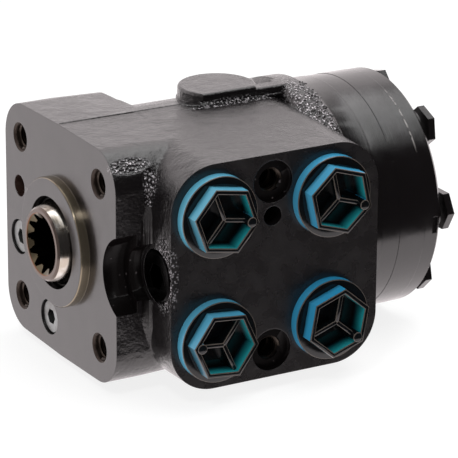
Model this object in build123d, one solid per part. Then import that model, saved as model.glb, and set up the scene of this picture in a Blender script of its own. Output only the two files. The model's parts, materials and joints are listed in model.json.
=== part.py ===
from build123d import *
from math import cos, degrees, atan2, pi, radians, sin
import os

# Orbital steering unit: a manual rotary servo valve and its gerotor metering set.
#
# Frame (millimetres): X runs along the shaft, from the column flange (x = 0) to the end cover.
# The port face looks along -Y and +Z is up. The origin is the shaft axis at the flange face.

# --- column flange -------------------------------------------------------------------------
FLANGE_NEAR_Y = -41.6            # edge on the port side
FLANGE_FAR_Y = 40.8              # edge on the plain side
FLANGE_PARTING_Z = 42.0          # half height at the mould's parting line, y = 0
FLANGE_DRAFT = 0.8               # half height lost to draft at the two outer edges
FLANGE_ROOT_PARTING_Z = 41.9     # the same two where the flange runs into the block
FLANGE_ROOT_DRAFT = 1.7
FLANGE_CORNER_R = 13.6
FLANGE_NEAR_THICK = 13.5         # up to the block's left wall
FLANGE_FAR_THICK = 32.0
COLUMN_BOLT_CIRCLE = 82.5
COLUMN_BOLT_PITCH = COLUMN_BOLT_CIRCLE * cos(radians(45))
COLUMN_THREAD_R = 4.25           # minor radius of M10
COLUMN_THREAD_DEPTH = 20.0
COLUMN_CHAMFER = 1.0
PILOT_R = 22.75
PILOT_HEIGHT = 3.3
PILOT_CHAMFER = 0.5

# --- casting behind the flange -------------------------------------------------------------
BLOCK_FACE_Y = -57.0             # machined port face
BLOCK_LEFT_X = 12.2
BLOCK_RIGHT_X = 92.5
BLOCK_FACE_HALF_Z = 39.7
BLOCK_CORNER_R = 16.5
BLOCK_ROOT_LEFT_X = 13.5         # the same block at the parting line, y = 0
BLOCK_ROOT_RIGHT_X = 93.3
BLOCK_ROOT_CORNER_R = 17.5
BACK_Y = 38.0                    # plain side of the casting behind the flange
BACK_HALF_Z = 39.8
BACK_CORNER_R = 24.0
CAST_END_X = 94.0
COLLAR_START_X = 84.0
COLLAR_R = 44.8                  # raised cast collar in front of the turned end
TURNED_R = 42.6
HOUSING_END_X = 104.0
BOSS_CENTRE = (64.0, 4.0)        # x, y of the cast stub on top
BOSS_R = 13.7
BOSS_TOP_Z = 45.8
BOSS_FLAT_Y = -5.0
BOSS_RIM_R = 1.0
RIB_TOP_Z = 44.8                 # rib from the boss to the collar, flush with the boss's flat
RIB_DEPTH = 8.0
CAST_FILLET_R = 3.0
CAST_FILLET_HALF_Z = 29.0
CAST_FILLET_FULL_Z = 12.0        # beyond this the fillet runs out

# --- ports ---------------------------------------------------------------------------------
PORT_X = (29.0, 73.0)
PORT_Z = 22.0
PORT_R = 10.2                    # inside G1/2
PORT_DEPTH = 17.0
BLOCK_BOLT_X = 51.0
BLOCK_BOLT_Z = 30.0
BLOCK_BOLT_R = 4.25              # minor radius of M10
BLOCK_BOLT_DEPTH = 18.0
BLOCK_BOLT_SINK_R = 7.4
BLOCK_BOLT_SINK_DEPTH = 2.2
PILOT_LINE_Z = 17.9
PILOT_LINE_R = 3.4
PILOT_LINE_DEPTH = 12.0

# --- bores along the shaft -----------------------------------------------------------------
SLEEVE_R = 19.0
SPOOL_R = 14.95
RUNNING_GAP = 0.05
BORE_R = SLEEVE_R + RUNNING_GAP
EXIT_BORE_R = 16.25
BEARING_SEAT_X = 12.0
SLEEVE_START_X = 16.6
SLEEVE_END_X = 103.8
GROOVE_R = 22.0
GROOVE_WIDTH = 5.0
GROOVE_X = (38.0, 52.0, 66.0, 80.0)

# --- spool and its drive -------------------------------------------------------------------
NOSE_X = -7.0
NOSE_R = 12.9
SPLINE_TEETH = 12                # 16/32 diametral pitch, 30 degree flanks
SPLINE_MINOR_R = 8.73
SPLINE_MAJOR_R = 10.6
SPLINE_SPACE_AT_MINOR = 3.3
SPLINE_SPACE_AT_MAJOR = 1.3
SPLINE_END_X = 16.0
SPOOL_BORE_R = 12.0
SPOOL_BORE_X = 20.0
SPOOL_END_X = 98.0
CROSS_PIN_X = 38.0
CROSS_PIN_R = 4.0
CROSS_PIN_HALF_LENGTH = 18.6
SPOOL_PIN_HOLE_R = 6.8           # lets the spool lead the sleeve by 10 degrees
SPRING_X = 26.0
SPRING_WIDTH = 6.4
SPRING_HALF_LENGTH = 18.0
SPRING_LEAF = 0.45
SPRING_SLOT_HALF_Z = 2.1

# --- gerotor set ---------------------------------------------------------------------------
RING_LOBES = 7
STAR_LOBES = RING_LOBES - 1
ECCENTRICITY = 3.3
LOBE_CENTRE_R = 30.0
LOBE_R = 7.5
MESH_GAP = 0.13
STAR_ARCS_PER_LOBE = 8
PLATE_R = 42.4
PLATE_START_X = HOUSING_END_X
RING_START_X = 111.3
COVER_START_X = 121.7
COVER_END_X = 128.2
CARDAN_HOLE_R = 13.6
SIDE_GAP = 0.05                  # star's axial clearance on each side
CARDAN_TEETH = 12

# --- screws --------------------------------------------------------------------------------
SCREW_CIRCLE_R = 34.0
SCREW_R = 3.95
SCREW_HOLE_R = 4.2
SCREW_THREAD_R = 4.0
SCREW_TIP_X = 86.0
SCREW_HEAD_FLATS = 13.0
SCREW_HEAD_HEIGHT = 5.2
WASHER_R = 7.4
WASHER_THICK = 1.0
FIRST_SCREW_ANGLE = 180.0        # from +Y towards +Z

# --- valves in the casting -----------------------------------------------------------------
RELIEF_Y = -46.8
RELIEF_R = 6.2
RELIEF_END_X = 50.0
RELIEF_SINK_R = 9.3              # takes the plug's head, flush with the block's left wall
RELIEF_SINK_END_X = 16.0
RELIEF_SOCKET_FLATS = 8.0
RELIEF_WASHER_THICK = 1.0
RELIEF_SHANK_END_X = 22.0
SCALLOP_R = 14.75                # clears the plug through the flange
SCALLOP_END_X = 7.8
SCALLOP_INNER_R = 11.0
SHOCK_PLACES = {"left": (31.0, -8.0), "right": (8.5, -30.6)}   # y, z
SHOCK_R = 6.3
SHOCK_DEPTH = 29.0
GAUGE_HOLE = (30.2, 11.1)        # y, z of the plain hole beside the shock valves
GAUGE_HOLE_R = 3.9
SUCTION_R = 3.6
SUCTION_BALL_R = 3.2
CHECK_SEAT_Y = -35.0
CHECK_BORE_R = 6.0
CHECK_BALL_R = 4.2

# --- protective port plugs -----------------------------------------------------------------
PLUG_DISC_R = 14.25
PLUG_DISC_THICK = 3.5
PLUG_HEX_FLATS = 22.0
PLUG_HEX_HEIGHT = 7.0
PLUG_WALL = 1.8
PLUG_SHANK_R = 10.1
PLUG_SHANK_LENGTH = 12.0
PLUG_TURNS = {"pressure": (29.0, 22.0, 0.0), "left": (73.0, 22.0, -13.0),
              "tank": (29.0, -22.0, 176.0), "right": (73.0, -22.0, -30.0)}   # x, z, degrees

TILT = degrees(atan2(ECCENTRICITY, (RING_START_X + COVER_START_X) / 2 - CROSS_PIN_X))


def across_x(x, y=0.0, z=0.0):
    """Plane facing +X whose own axes are Y and Z."""
    return Plane(origin=(x, y, z), x_dir=(0, 1, 0), z_dir=(1, 0, 0))


def facing_ports(y, x=0.0, z=0.0):
    """Plane facing -Y whose own axes are X and Z."""
    return Plane(origin=(x, y, z), x_dir=(1, 0, 0), z_dir=(0, -1, 0))


def rod(start, end, radius, y=0.0, z=0.0):
    """Round bar along X."""
    return extrude(across_x(start, y, z) * Circle(radius), end - start)


def rod_inward(start, end, radius, x, z):
    """Round bar along Y, from start towards larger y."""
    return extrude(facing_ports(start, x, z) * Circle(radius), start - end)


def turned(*points):
    """Body of revolution about X from (x, radius) points."""
    return revolve(make_face(Polyline(*points, close=True)), Axis.X)


def ring(start, end, inner, outer, y=0.0, z=0.0):
    """Plain ring along X."""
    return extrude(across_x(start, y, z) * (Circle(outer) - Circle(inner)), end - start)


def screw_places(angle_offset=0.0, radius=SCREW_CIRCLE_R):
    """(y, z) of the seven places on a circle about X."""
    step = 360 / RING_LOBES
    angles = [radians(FIRST_SCREW_ANGLE + angle_offset + step * i) for i in range(RING_LOBES)]
    return [(radius * cos(a), radius * sin(a)) for a in angles]


def splined_section(teeth, inner, outer, width_inner, width_outer):
    """Circle with straight-flanked teeth that stand out from inner to outer radius."""
    tooth = make_face(Polyline((inner - 0.6, -width_inner / 2), (inner, -width_inner / 2),
                               (outer, -width_outer / 2), (outer, width_outer / 2),
                               (inner, width_inner / 2), (inner - 0.6, width_inner / 2),
                               close=True))
    section = Circle(inner)
    for i in range(teeth):
        section += Rot(0, 0, 360 * i / teeth) * tooth
    return section


# --- housing -------------------------------------------------------------------------------

def flange_outline(parting_z, draft):
    """Nearly square flange, highest at the parting line, with round corners."""
    edge_z = parting_z - draft
    outline = make_face(Polyline((FLANGE_NEAR_Y, -edge_z), (0, -parting_z),
                                 (FLANGE_FAR_Y, -edge_z), (FLANGE_FAR_Y, edge_z),
                                 (0, parting_z), (FLANGE_NEAR_Y, edge_z), close=True))
    corners = [v for v in outline.vertices() if abs(v.X) > 1]
    return fillet(corners, FLANGE_CORNER_R)


def cast_flange():
    """Flange plate and the length behind it that runs into the block with a little more draft."""
    section = flange_outline(FLANGE_PARTING_Z, FLANGE_DRAFT)
    plate = extrude(across_x(0) * section, FLANGE_NEAR_THICK)
    root = across_x(FLANGE_FAR_THICK) * flange_outline(FLANGE_ROOT_PARTING_Z, FLANGE_ROOT_DRAFT)
    return plate + loft([across_x(FLANGE_NEAR_THICK) * section, root], ruled=True)


def inner_corner_fillet():
    """Cast fillet up the inner corner between flange and block, which runs out at both ends."""
    y, r = FLANGE_NEAR_Y, CAST_FILLET_R
    lean = (BLOCK_ROOT_LEFT_X - BLOCK_LEFT_X) * (y - BLOCK_FACE_Y) / -BLOCK_FACE_Y
    x = BLOCK_LEFT_X + lean
    middle = r * (1 - cos(radians(45)))
    hollow = ThreePointArc((x - r, y), (x - middle, y - middle), (x, y - r))
    behind = Polyline((x, y - r), (x + 1, y - r), (x + 1, y + 1), (x - r, y + 1), (x - r, y))
    strip = extrude(Plane.XY.offset(-CAST_FILLET_HALF_Z) * make_face(hollow + behind), 2 * CAST_FILLET_HALF_Z)
    end, full = CAST_FILLET_HALF_Z, CAST_FILLET_FULL_Z
    run_out = make_face(Polyline((-2, -end), (0, -end), (r, -full), (r, full), (0, end), (-2, end), close=True))
    diagonal = Plane(origin=(x, y, 0), x_dir=(-1, -1, 0), z_dir=(-1, 1, 0))
    return strip & extrude(diagonal * run_out, 2 * r, both=True)


def port_block():
    """Block that carries the ports, lofted so that its top and bottom have draft."""
    face = facing_ports(BLOCK_FACE_Y, (BLOCK_LEFT_X + BLOCK_RIGHT_X) / 2) * RectangleRounded(
        BLOCK_RIGHT_X - BLOCK_LEFT_X, 2 * BLOCK_FACE_HALF_Z, BLOCK_CORNER_R)
    root = facing_ports(0, (BLOCK_ROOT_LEFT_X + BLOCK_ROOT_RIGHT_X) / 2) * RectangleRounded(
        BLOCK_ROOT_RIGHT_X - BLOCK_ROOT_LEFT_X, 2 * FLANGE_PARTING_Z, BLOCK_ROOT_CORNER_R)
    return loft([face.face(), root.face()], ruled=True)


def plain_side():
    """Casting on the side away from the ports: drafted top and bottom, well rounded back."""
    outline = make_face(Polyline((0, -FLANGE_PARTING_Z), (BACK_Y, -BACK_HALF_Z),
                                 (BACK_Y, BACK_HALF_Z), (0, FLANGE_PARTING_Z), close=True))
    corners = [v for v in outline.vertices() if v.X > 1]
    outline = fillet(corners, BACK_CORNER_R)
    return extrude(across_x(FLANGE_NEAR_THICK) * outline, CAST_END_X - 2 - FLANGE_NEAR_THICK)


def rear_collar():
    """Cast collar that runs down to the turned seat of the metering set."""
    return turned((COLLAR_START_X, 0), (COLLAR_START_X, COLLAR_R - 3), (COLLAR_START_X + 2.5, COLLAR_R),
                  (CAST_END_X - 1, COLLAR_R), (CAST_END_X + 2, TURNED_R), (HOUSING_END_X, TURNED_R),
                  (HOUSING_END_X, 0))


def top_boss():
    """D-shaped cast stub with its flat towards the ports, and the rib behind it."""
    x, y = BOSS_CENTRE
    stub = extrude(Plane.XY.offset(30) * (Pos(x, y) * Circle(BOSS_R + 0.6)), BOSS_TOP_Z - 30, taper=2)
    keep = Pos(x, BOSS_FLAT_Y + 25, 40) * Box(60, 50, 40)
    stub = stub & keep
    stub = fillet(stub.edges().group_by(Axis.Z)[-1], BOSS_RIM_R)
    rib_end = COLLAR_START_X + 4
    rib = Pos((x + rib_end) / 2, BOSS_FLAT_Y + RIB_DEPTH / 2, RIB_TOP_Z - 5) * Box(rib_end - x, RIB_DEPTH, 10)
    return stub + fillet(rib.edges().group_by(Axis.Z)[-1].filter_by(Axis.X), BOSS_RIM_R)


def pilot():
    return turned((1, 0), (1, PILOT_R), (-PILOT_HEIGHT + PILOT_CHAMFER, PILOT_R),
                  (-PILOT_HEIGHT, PILOT_R - PILOT_CHAMFER), (-PILOT_HEIGHT, 0))


def main_bore():
    """Everything cut on the shaft axis: exit bore, seal grooves, valve bore and its annular grooves."""
    cut = rod(-PILOT_HEIGHT - 1, BEARING_SEAT_X, EXIT_BORE_R)
    cut += rod(BEARING_SEAT_X, HOUSING_END_X + 1, BORE_R)
    cut += rod(0.8, 3.6, 17.6)
    cut += rod(5.0, 9.2, 18.5)
    for x in GROOVE_X:
        cut += rod(x - GROOVE_WIDTH / 2, x + GROOVE_WIDTH / 2, GROOVE_R)
    return cut


def port_cuts():
    """Threaded ports, each with a drilled way into one annular groove of the valve bore."""
    cut = None
    for name, (x, z, _) in PLUG_TURNS.items():
        port = rod_inward(BLOCK_FACE_Y, BLOCK_FACE_Y + PORT_DEPTH, PORT_R, x, z)
        side = 1 if z > 0 else -1
        groove = {"pressure": GROOVE_X[0], "tank": GROOVE_X[1], "left": GROOVE_X[2],
                  "right": GROOVE_X[3]}[name]
        start = Vector(x, BLOCK_FACE_Y + PORT_DEPTH - 2, z)
        if name == "pressure":
            port += rod_inward(BLOCK_FACE_Y + PORT_DEPTH, CHECK_SEAT_Y + 13, CHECK_BORE_R, x, z)
            start = Vector(x, CHECK_SEAT_Y + 11, z)
        end = Vector(groove, -8, side * 17.5)
        way = end - start
        port += extrude(Plane(origin=start, z_dir=way) * Circle(3.2), way.length)
        cut = port if cut is None else cut + port
    return cut


def block_face_cuts():
    """Valve block bolt holes and the small pilot line hole between the ports."""
    cut = rod_inward(BLOCK_FACE_Y, BLOCK_FACE_Y + PILOT_LINE_DEPTH, PILOT_LINE_R, BLOCK_BOLT_X, PILOT_LINE_Z)
    for z in (-BLOCK_BOLT_Z, BLOCK_BOLT_Z):
        cut += rod_inward(BLOCK_FACE_Y, BLOCK_FACE_Y + BLOCK_BOLT_DEPTH, BLOCK_BOLT_R, BLOCK_BOLT_X, z)
        cut += rod_inward(BLOCK_FACE_Y, BLOCK_FACE_Y + BLOCK_BOLT_SINK_DEPTH, BLOCK_BOLT_SINK_R,
                          BLOCK_BOLT_X, z)
    return cut


def flange_cuts():
    """Column bolt holes, shock valve bores, plain hole, and the scallop that clears the relief plug."""
    cut = rod(-1, SCALLOP_END_X, SCALLOP_R, RELIEF_Y, 0)
    cut += rod(-1, BLOCK_LEFT_X + 0.4, SCALLOP_INNER_R, RELIEF_Y, 0)
    half = COLUMN_BOLT_PITCH / 2
    for y in (-half, half):
        for z in (-half, half):
            cut += rod(-1, COLUMN_THREAD_DEPTH, COLUMN_THREAD_R, y, z)
            mouth = turned((-0.1, 0), (-0.1, COLUMN_THREAD_R + COLUMN_CHAMFER + 0.1),
                           (COLUMN_CHAMFER, COLUMN_THREAD_R), (COLUMN_CHAMFER, 0))
            cut += Pos(0, y, z) * mouth
    for y, z in SHOCK_PLACES.values():
        cut += rod(-1, SHOCK_DEPTH, SHOCK_R, y, z)
        cut += rod(SHOCK_DEPTH, SHOCK_DEPTH + 6, 2.2, y, z)
    cut += rod(-1, 12, GAUGE_HOLE_R, *GAUGE_HOLE)
    return cut


def relief_cut():
    """Sink and bore of the relief valve, which runs along X between the ports."""
    cut = rod(BLOCK_LEFT_X - 1, RELIEF_SINK_END_X, RELIEF_SINK_R, RELIEF_Y, 0)
    cut += rod(BLOCK_LEFT_X, RELIEF_END_X, RELIEF_R, RELIEF_Y, 0)
    return cut + rod(RELIEF_END_X, RELIEF_END_X + 8, 2.4, RELIEF_Y, 0)


def rear_cuts():
    """Screw threads, oil ways to the metering set, suction valve bores and the face seal's groove."""
    cut = ring(HOUSING_END_X - 1.4, HOUSING_END_X + 1, 39.1, 41.1)
    for y, z in screw_places():
        cut += rod(SCREW_TIP_X - 3, HOUSING_END_X + 1, SCREW_THREAD_R, y, z)
    for y, z in screw_places(180 / RING_LOBES, 24.8):
        cut += rod(92, HOUSING_END_X + 1, 2.2, y, z)
    for y, z in suction_places():
        cut += rod(78, HOUSING_END_X + 1, SUCTION_R, y, z)
        cut += rod(72, 78, 2.0, y, z)
    cut += ring(90, 94, BORE_R - 1, 26.0)
    return cut


def suction_places():
    """(y, z) of the two suction valve bores, on either side of the screw nearest the ports."""
    places = screw_places(180 / RING_LOBES)
    return [places[0], places[-1]]


def housing():
    body = cast_flange() + port_block() + inner_corner_fillet()
    body += plain_side()
    body += rear_collar() + top_boss() + pilot()
    body -= main_bore()
    body -= port_cuts()
    body -= block_face_cuts()
    body -= flange_cuts()
    body -= relief_cut()
    body -= rear_cuts()
    return body


# --- spool, sleeve and their drive ---------------------------------------------------------

def spool():
    """Inner valve member: splined nose, spring slot, oversize pin holes and metering grooves."""
    nose = [(NOSE_X, 0), (NOSE_X, NOSE_R - 0.7), (NOSE_X + 0.7, NOSE_R)]
    flank = ThreePointArc((NOSE_X + 0.7, NOSE_R), (-2.0, 14.1), (5.0, SPOOL_R))
    rest = Polyline((5.0, SPOOL_R), (SPOOL_END_X, SPOOL_R), (SPOOL_END_X, 0), (NOSE_X, 0))
    body = revolve(make_face(Polyline(*nose) + flank + rest), Axis.X)
    hole = splined_section(SPLINE_TEETH, SPLINE_MINOR_R, SPLINE_MAJOR_R,
                           SPLINE_SPACE_AT_MINOR, SPLINE_SPACE_AT_MAJOR)
    body -= extrude(across_x(NOSE_X - 1) * hole, SPLINE_END_X - NOSE_X + 1)
    body -= turned((NOSE_X - 0.1, 0), (NOSE_X - 0.1, SPLINE_MAJOR_R + 0.5),
                   (NOSE_X + 1.6, SPLINE_MINOR_R), (NOSE_X + 1.6, 0))
    body -= turned((SPLINE_END_X, 0), (SPLINE_END_X, SPLINE_MAJOR_R + 0.2), (SPOOL_BORE_X, SPOOL_BORE_R),
                   (SPOOL_END_X + 1, SPOOL_BORE_R), (SPOOL_END_X + 1, 0))
    body -= Pos(CROSS_PIN_X, 0, 0) * Cylinder(SPOOL_PIN_HOLE_R, 40)
    body -= Pos(SPRING_X, 0, 0) * Box(SPRING_WIDTH + 0.6, 40, 2 * SPRING_SLOT_HALF_Z)
    for i in range(6):
        body -= Rot(60 * i, 0, 0) * rod(50, 70, 1.3, SPOOL_R, 0)
        body -= Rot(60 * i + 30, 0, 0) * rod(62, 84, 1.3, SPOOL_R, 0)
    return body


def sleeve():
    """Outer valve member that follows the gerotor: oil holes, spring slots and cross pin holes."""
    body = ring(SLEEVE_START_X, SLEEVE_END_X, SPOOL_R + RUNNING_GAP, SLEEVE_R)
    body -= ring(SPRING_X - 4.2, SPRING_X + 4.2, SLEEVE_R - 0.9, SLEEVE_R + 1)
    body -= Pos(SPRING_X, 0, 0) * Box(SPRING_WIDTH + 0.6, 50, 2 * SPRING_SLOT_HALF_Z)
    body -= Pos(CROSS_PIN_X, 0, 0) * Cylinder(CROSS_PIN_R + 0.02, 50)
    for x, turn in ((52.0, 0), (66.0, 30), (80.0, 0)):
        body -= ring(x - 1.5, x + 1.5, SLEEVE_R - 0.7, SLEEVE_R + 1)
        for i in range(6):
            body -= Rot(60 * i + turn, 0, 0) * (Pos(x, SLEEVE_R - 2, 0) * Rot(90, 0, 0) * Cylinder(1.5, 8))
    for i in range(12):
        body -= Rot(30 * i, 0, 0) * (Pos(92, SLEEVE_R - 2, 0) * Rot(90, 0, 0) * Cylinder(1.6, 8))
    return body


def cross_pin():
    """Pin through sleeve, spool and cardan fork, upright at rest."""
    pin = Pos(CROSS_PIN_X, 0, 0) * Cylinder(CROSS_PIN_R, 2 * CROSS_PIN_HALF_LENGTH)
    return chamfer(pin.edges().filter_by(GeomType.CIRCLE), 0.5)


def bowed_leaf(root_gap, bow):
    """One curved leaf: ends root_gap above the middle plane, centre raised by bow."""
    half = SPRING_HALF_LENGTH
    lower = ThreePointArc((-half, root_gap), (0, root_gap + bow), (half, root_gap))
    upper = ThreePointArc((-half, root_gap + SPRING_LEAF), (0, root_gap + bow + SPRING_LEAF),
                          (half, root_gap + SPRING_LEAF))
    ends = Line(lower @ 0, upper @ 0) + Line(lower @ 1, upper @ 1)
    return extrude(across_x(SPRING_X - SPRING_WIDTH / 2) * make_face(lower + upper + ends), SPRING_WIDTH)


def centring_springs():
    """Six leaves across the spool: two flat ones between two pairs of curved ones."""
    leaves = []
    for side in (1, -1):
        flat = Pos(SPRING_X, 0, side * 0.26) * Box(SPRING_WIDTH, 2 * SPRING_HALF_LENGTH, SPRING_LEAF)
        leaves.append(flat)
        for root_gap in (0.52, 1.0):
            leaf = bowed_leaf(root_gap, 0.9)
            leaves.append(leaf if side > 0 else Rot(180, 0, 0) * leaf)
    return Compound(children=leaves)


def spring_ring():
    return ring(SPRING_X - 4.0, SPRING_X + 4.0, SLEEVE_R - 0.85, SLEEVE_R - 0.05)


def cardan_shaft():
    """Wobble shaft: forked over the cross pin, splined into the star, tilted towards the star's centre."""
    fork_start, fork_end = CROSS_PIN_X - 6.5, CROSS_PIN_X + 9
    head_start, head_end = RING_START_X - 2.5, RING_START_X + 5.8
    body = turned((fork_start, 0), (fork_start, 8.8), (fork_start + 1, 9.8), (fork_end - 2, 9.8),
                  (fork_end + 3, 7.4), (head_start - 3, 7.4), (head_start - 1, 7.6), (head_end, 7.6),
                  (head_end, 0))
    teeth = splined_section(CARDAN_TEETH, 7.6, 9.2, 2.2, 1.5)
    body += extrude(across_x(head_start) * teeth, head_end - head_start)
    body &= turned((fork_start, 0), (fork_start, 9.8), (head_start - 1, 9.8), (head_start, 8.2),
                   (head_start + 1.2, 9.2), (head_end - 1.2, 9.2), (head_end, 8.2), (head_end, 0))
    slot = Pos((fork_start - 5 + CROSS_PIN_X + 4.9) / 2, 0, 0) * Box(
        CROSS_PIN_X + 4.9 - fork_start + 5, 2 * (CROSS_PIN_R + 0.15), 40)
    body -= slot
    return Pos(CROSS_PIN_X, 0, 0) * Rot(0, 0, -TILT) * Pos(-CROSS_PIN_X, 0, 0) * body


# --- metering set --------------------------------------------------------------------------

def envelope_point(t):
    """Point of the star at parameter t: the inner envelope of the ring's lobes, held off by the mesh gap."""
    reach = LOBE_R + MESH_GAP
    x = LOBE_CENTRE_R * cos(t) - ECCENTRICITY * cos(RING_LOBES * t)
    y = LOBE_CENTRE_R * sin(t) - ECCENTRICITY * sin(RING_LOBES * t)
    dx = -LOBE_CENTRE_R * sin(t) + RING_LOBES * ECCENTRICITY * sin(RING_LOBES * t)
    dy = LOBE_CENTRE_R * cos(t) - RING_LOBES * ECCENTRICITY * cos(RING_LOBES * t)
    speed = (dx * dx + dy * dy) ** 0.5
    return x - reach * dy / speed, y + reach * dx / speed


def star_outline():
    """Six-lobed star as a chain of arcs, each through three points of the envelope."""
    arcs = STAR_LOBES * STAR_ARCS_PER_LOBE
    points = [envelope_point(pi * i / arcs) for i in range(2 * arcs)]
    points.append(points[0])
    chain = [ThreePointArc(*points[2 * i:2 * i + 3]) for i in range(arcs)]
    return make_face(chain)


def star_gear():
    """Star, shifted towards the ports at rest so that one of its valleys holds the nearest lobe."""
    section = star_outline() - splined_section(CARDAN_TEETH, 8.1, 9.7, 2.9, 2.2)
    body = extrude(across_x(RING_START_X + SIDE_GAP) * section,
                   COVER_START_X - RING_START_X - 2 * SIDE_GAP)
    return Pos(0, -ECCENTRICITY, 0) * body


def gear_ring():
    """Seven-lobed ring with through holes for the screws and a face seal groove on each side."""
    valley_r = LOBE_CENTRE_R - LOBE_R + 2 * ECCENTRICITY + 0.1
    section = Circle(PLATE_R + 0.1) - Circle(valley_r)
    for y, z in screw_places(0, LOBE_CENTRE_R):
        section += Pos(y, z) * Circle(LOBE_R)
    for y, z in screw_places():
        section -= Pos(y, z) * Circle(SCREW_HOLE_R)
    body = extrude(across_x(RING_START_X) * section, COVER_START_X - RING_START_X)
    body -= ring(RING_START_X - 1, RING_START_X + 1.4, 39.1, 41.1)
    return body - ring(COVER_START_X - 1.4, COVER_START_X + 1, 39.1, 41.1)


def distributor_plate():
    """Wear plate with seven oil ways, one to each chamber, round the cardan's hole."""
    section = Circle(PLATE_R) - Circle(CARDAN_HOLE_R)
    for y, z in screw_places():
        section -= Pos(y, z) * Circle(SCREW_HOLE_R)
    for y, z in screw_places(180 / RING_LOBES, 24.8):
        section -= Pos(y, z) * Circle(2.2)
    return extrude(across_x(PLATE_START_X) * section, RING_START_X - PLATE_START_X)


def end_cover():
    """Plain cover with a bevelled rear rim and a small alignment nick in its edge."""
    body = turned((COVER_START_X, 0), (COVER_START_X, PLATE_R), (COVER_END_X - 1.2, PLATE_R),
                  (COVER_END_X, PLATE_R - 1.2), (COVER_END_X, 0))
    for y, z in screw_places():
        body -= rod(COVER_START_X - 1, COVER_END_X + 1, SCREW_HOLE_R, y, z)
    nick = Pos((COVER_START_X + COVER_END_X) / 2 + 0.8, -PLATE_R, -2.5) * Box(1.8, 1.6, 6)
    return body - nick


def drive_spacer():
    """Loose disc between the cardan's end and the cover, centred in the star."""
    return rod(RING_START_X + 6.6, COVER_START_X - 0.2, 7.8, -ECCENTRICITY, 0)


def face_seal(x):
    """Square-section ring that fills a 2 by 1.4 mm groove."""
    return ring(x, x + 1.36, 39.2, 41.0)


# --- fasteners -----------------------------------------------------------------------------

def hex_screw(y, z, turn, tip):
    """Hexagon head screw with a bevelled head, lying along X with its head to the rear."""
    seat = COVER_END_X + WASHER_THICK
    outline = Rot(0, 0, turn) * RegularPolygon(SCREW_HEAD_FLATS / 2, 6, major_radius=False)
    hexagon = across_x(seat, y, z) * outline
    head = extrude(hexagon, SCREW_HEAD_HEIGHT)
    top = seat + SCREW_HEAD_HEIGHT
    bevel = turned((seat - 1, 0), (seat - 1, 9), (top - 1.3, 8.2), (top, 6.0), (top, 0))
    head &= Pos(0, y, z) * bevel
    return head + rod(tip, seat + 0.1, SCREW_R, y, z)


def screws():
    """The six plain screws, then the longer one that also holds a check ball's pin."""
    turns = (0, 17, -8, 25, 10, -14, 22)
    every = [hex_screw(y, z, turn, SCREW_TIP_X) for (y, z), turn in zip(screw_places(), turns)]
    return Compound(children=every[:3] + every[4:]), every[3]


def screw_washers():
    rings = [ring(COVER_END_X, COVER_END_X + WASHER_THICK, SCREW_R + 0.1, WASHER_R, y, z)
             for y, z in screw_places()]
    return Compound(children=rings)


# --- seals and bearing at the shaft --------------------------------------------------------

def shaft_seal():
    return turned((5.1, SPOOL_R + 0.05), (9.1, SPOOL_R + 0.05), (9.1, 18.45), (6.0, 18.45), (5.1, 17.6))


def dust_seal():
    """Wiper whose lip reaches forward to the spool's nose."""
    return turned((0.9, 15.05), (3.5, 15.3), (3.5, 17.5), (0.9, 17.5), (0.9, 16.1), (-0.6, 15.6),
                  (-0.9, 14.95))


def needle_cage():
    """Thrust cage with twelve needles, which turns at half the sleeve's speed."""
    cage = ring(13.9, 14.9, 15.4, 18.8)
    for i in range(12):
        needle = Pos(14.4, 17.1, 0) * Rot(90, 0, 0) * Cylinder(0.85, 2.6)
        cage += Rot(30 * i, 0, 0) * needle
    return cage


# --- valves --------------------------------------------------------------------------------

def coil(start, end, mean_r, wire, turns, y, z):
    """Compression spring along X with square wire."""
    path = Helix(pitch=(end - start - wire) / turns, height=end - start - wire, radius=mean_r)
    section = Plane(origin=path @ 0, z_dir=path % 0) * Rectangle(wire, wire)
    spring = sweep(section, path=path, is_frenet=True)
    return Pos(start + wire / 2, y, z) * Rot(0, 90, 0) * spring


def relief_plug():
    """Screw plug whose round head lies in its sink, with a hexagon socket."""
    x = BLOCK_LEFT_X + 0.1
    head_r = RELIEF_SINK_R - 0.1
    seat = RELIEF_SINK_END_X - RELIEF_WASHER_THICK
    body = turned((x, 0), (x, head_r - 0.8), (x + 0.8, head_r), (seat, head_r), (seat, RELIEF_R - 0.05),
                  (RELIEF_SHANK_END_X, RELIEF_R - 0.05), (RELIEF_SHANK_END_X, 0))
    body = Pos(0, RELIEF_Y, 0) * body
    socket = across_x(x - 1, RELIEF_Y, 0) * RegularPolygon(RELIEF_SOCKET_FLATS / 2, 6, major_radius=False)
    return body - extrude(socket, 6)


def relief_washer():
    seat = RELIEF_SINK_END_X
    return ring(seat - RELIEF_WASHER_THICK, seat, RELIEF_R + 0.05, RELIEF_SINK_R - 0.2, RELIEF_Y, 0)


def relief_seat():
    end, outer = RELIEF_END_X - 0.05, RELIEF_R - 0.05
    return Pos(0, RELIEF_Y, 0) * turned((44, 2.6), (end, 2.6), (end, outer), (44, outer))


def relief_poppet():
    """Cone on the seat with a spring guide behind it."""
    return Pos(0, RELIEF_Y, 0) * turned((37, 0), (37, 2.0), (40, 2.0), (40, 5.0), (42, 5.0), (43.9, 2.5),
                                        (45.0, 1.2), (45.0, 0))


def shock_plug(y, z):
    """Flush screw plug with a hexagon socket."""
    outer = SHOCK_R - 0.1
    body = Pos(0, y, z) * turned((0.8, 0), (0.8, outer - 0.6), (1.4, outer), (9, outer), (9, 0))
    return body - extrude(across_x(0, y, z) * RegularPolygon(2.5, 6, major_radius=False), 5)


def ball(x, y, z, radius):
    return Pos(x, y, z) * Sphere(radius)


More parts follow.
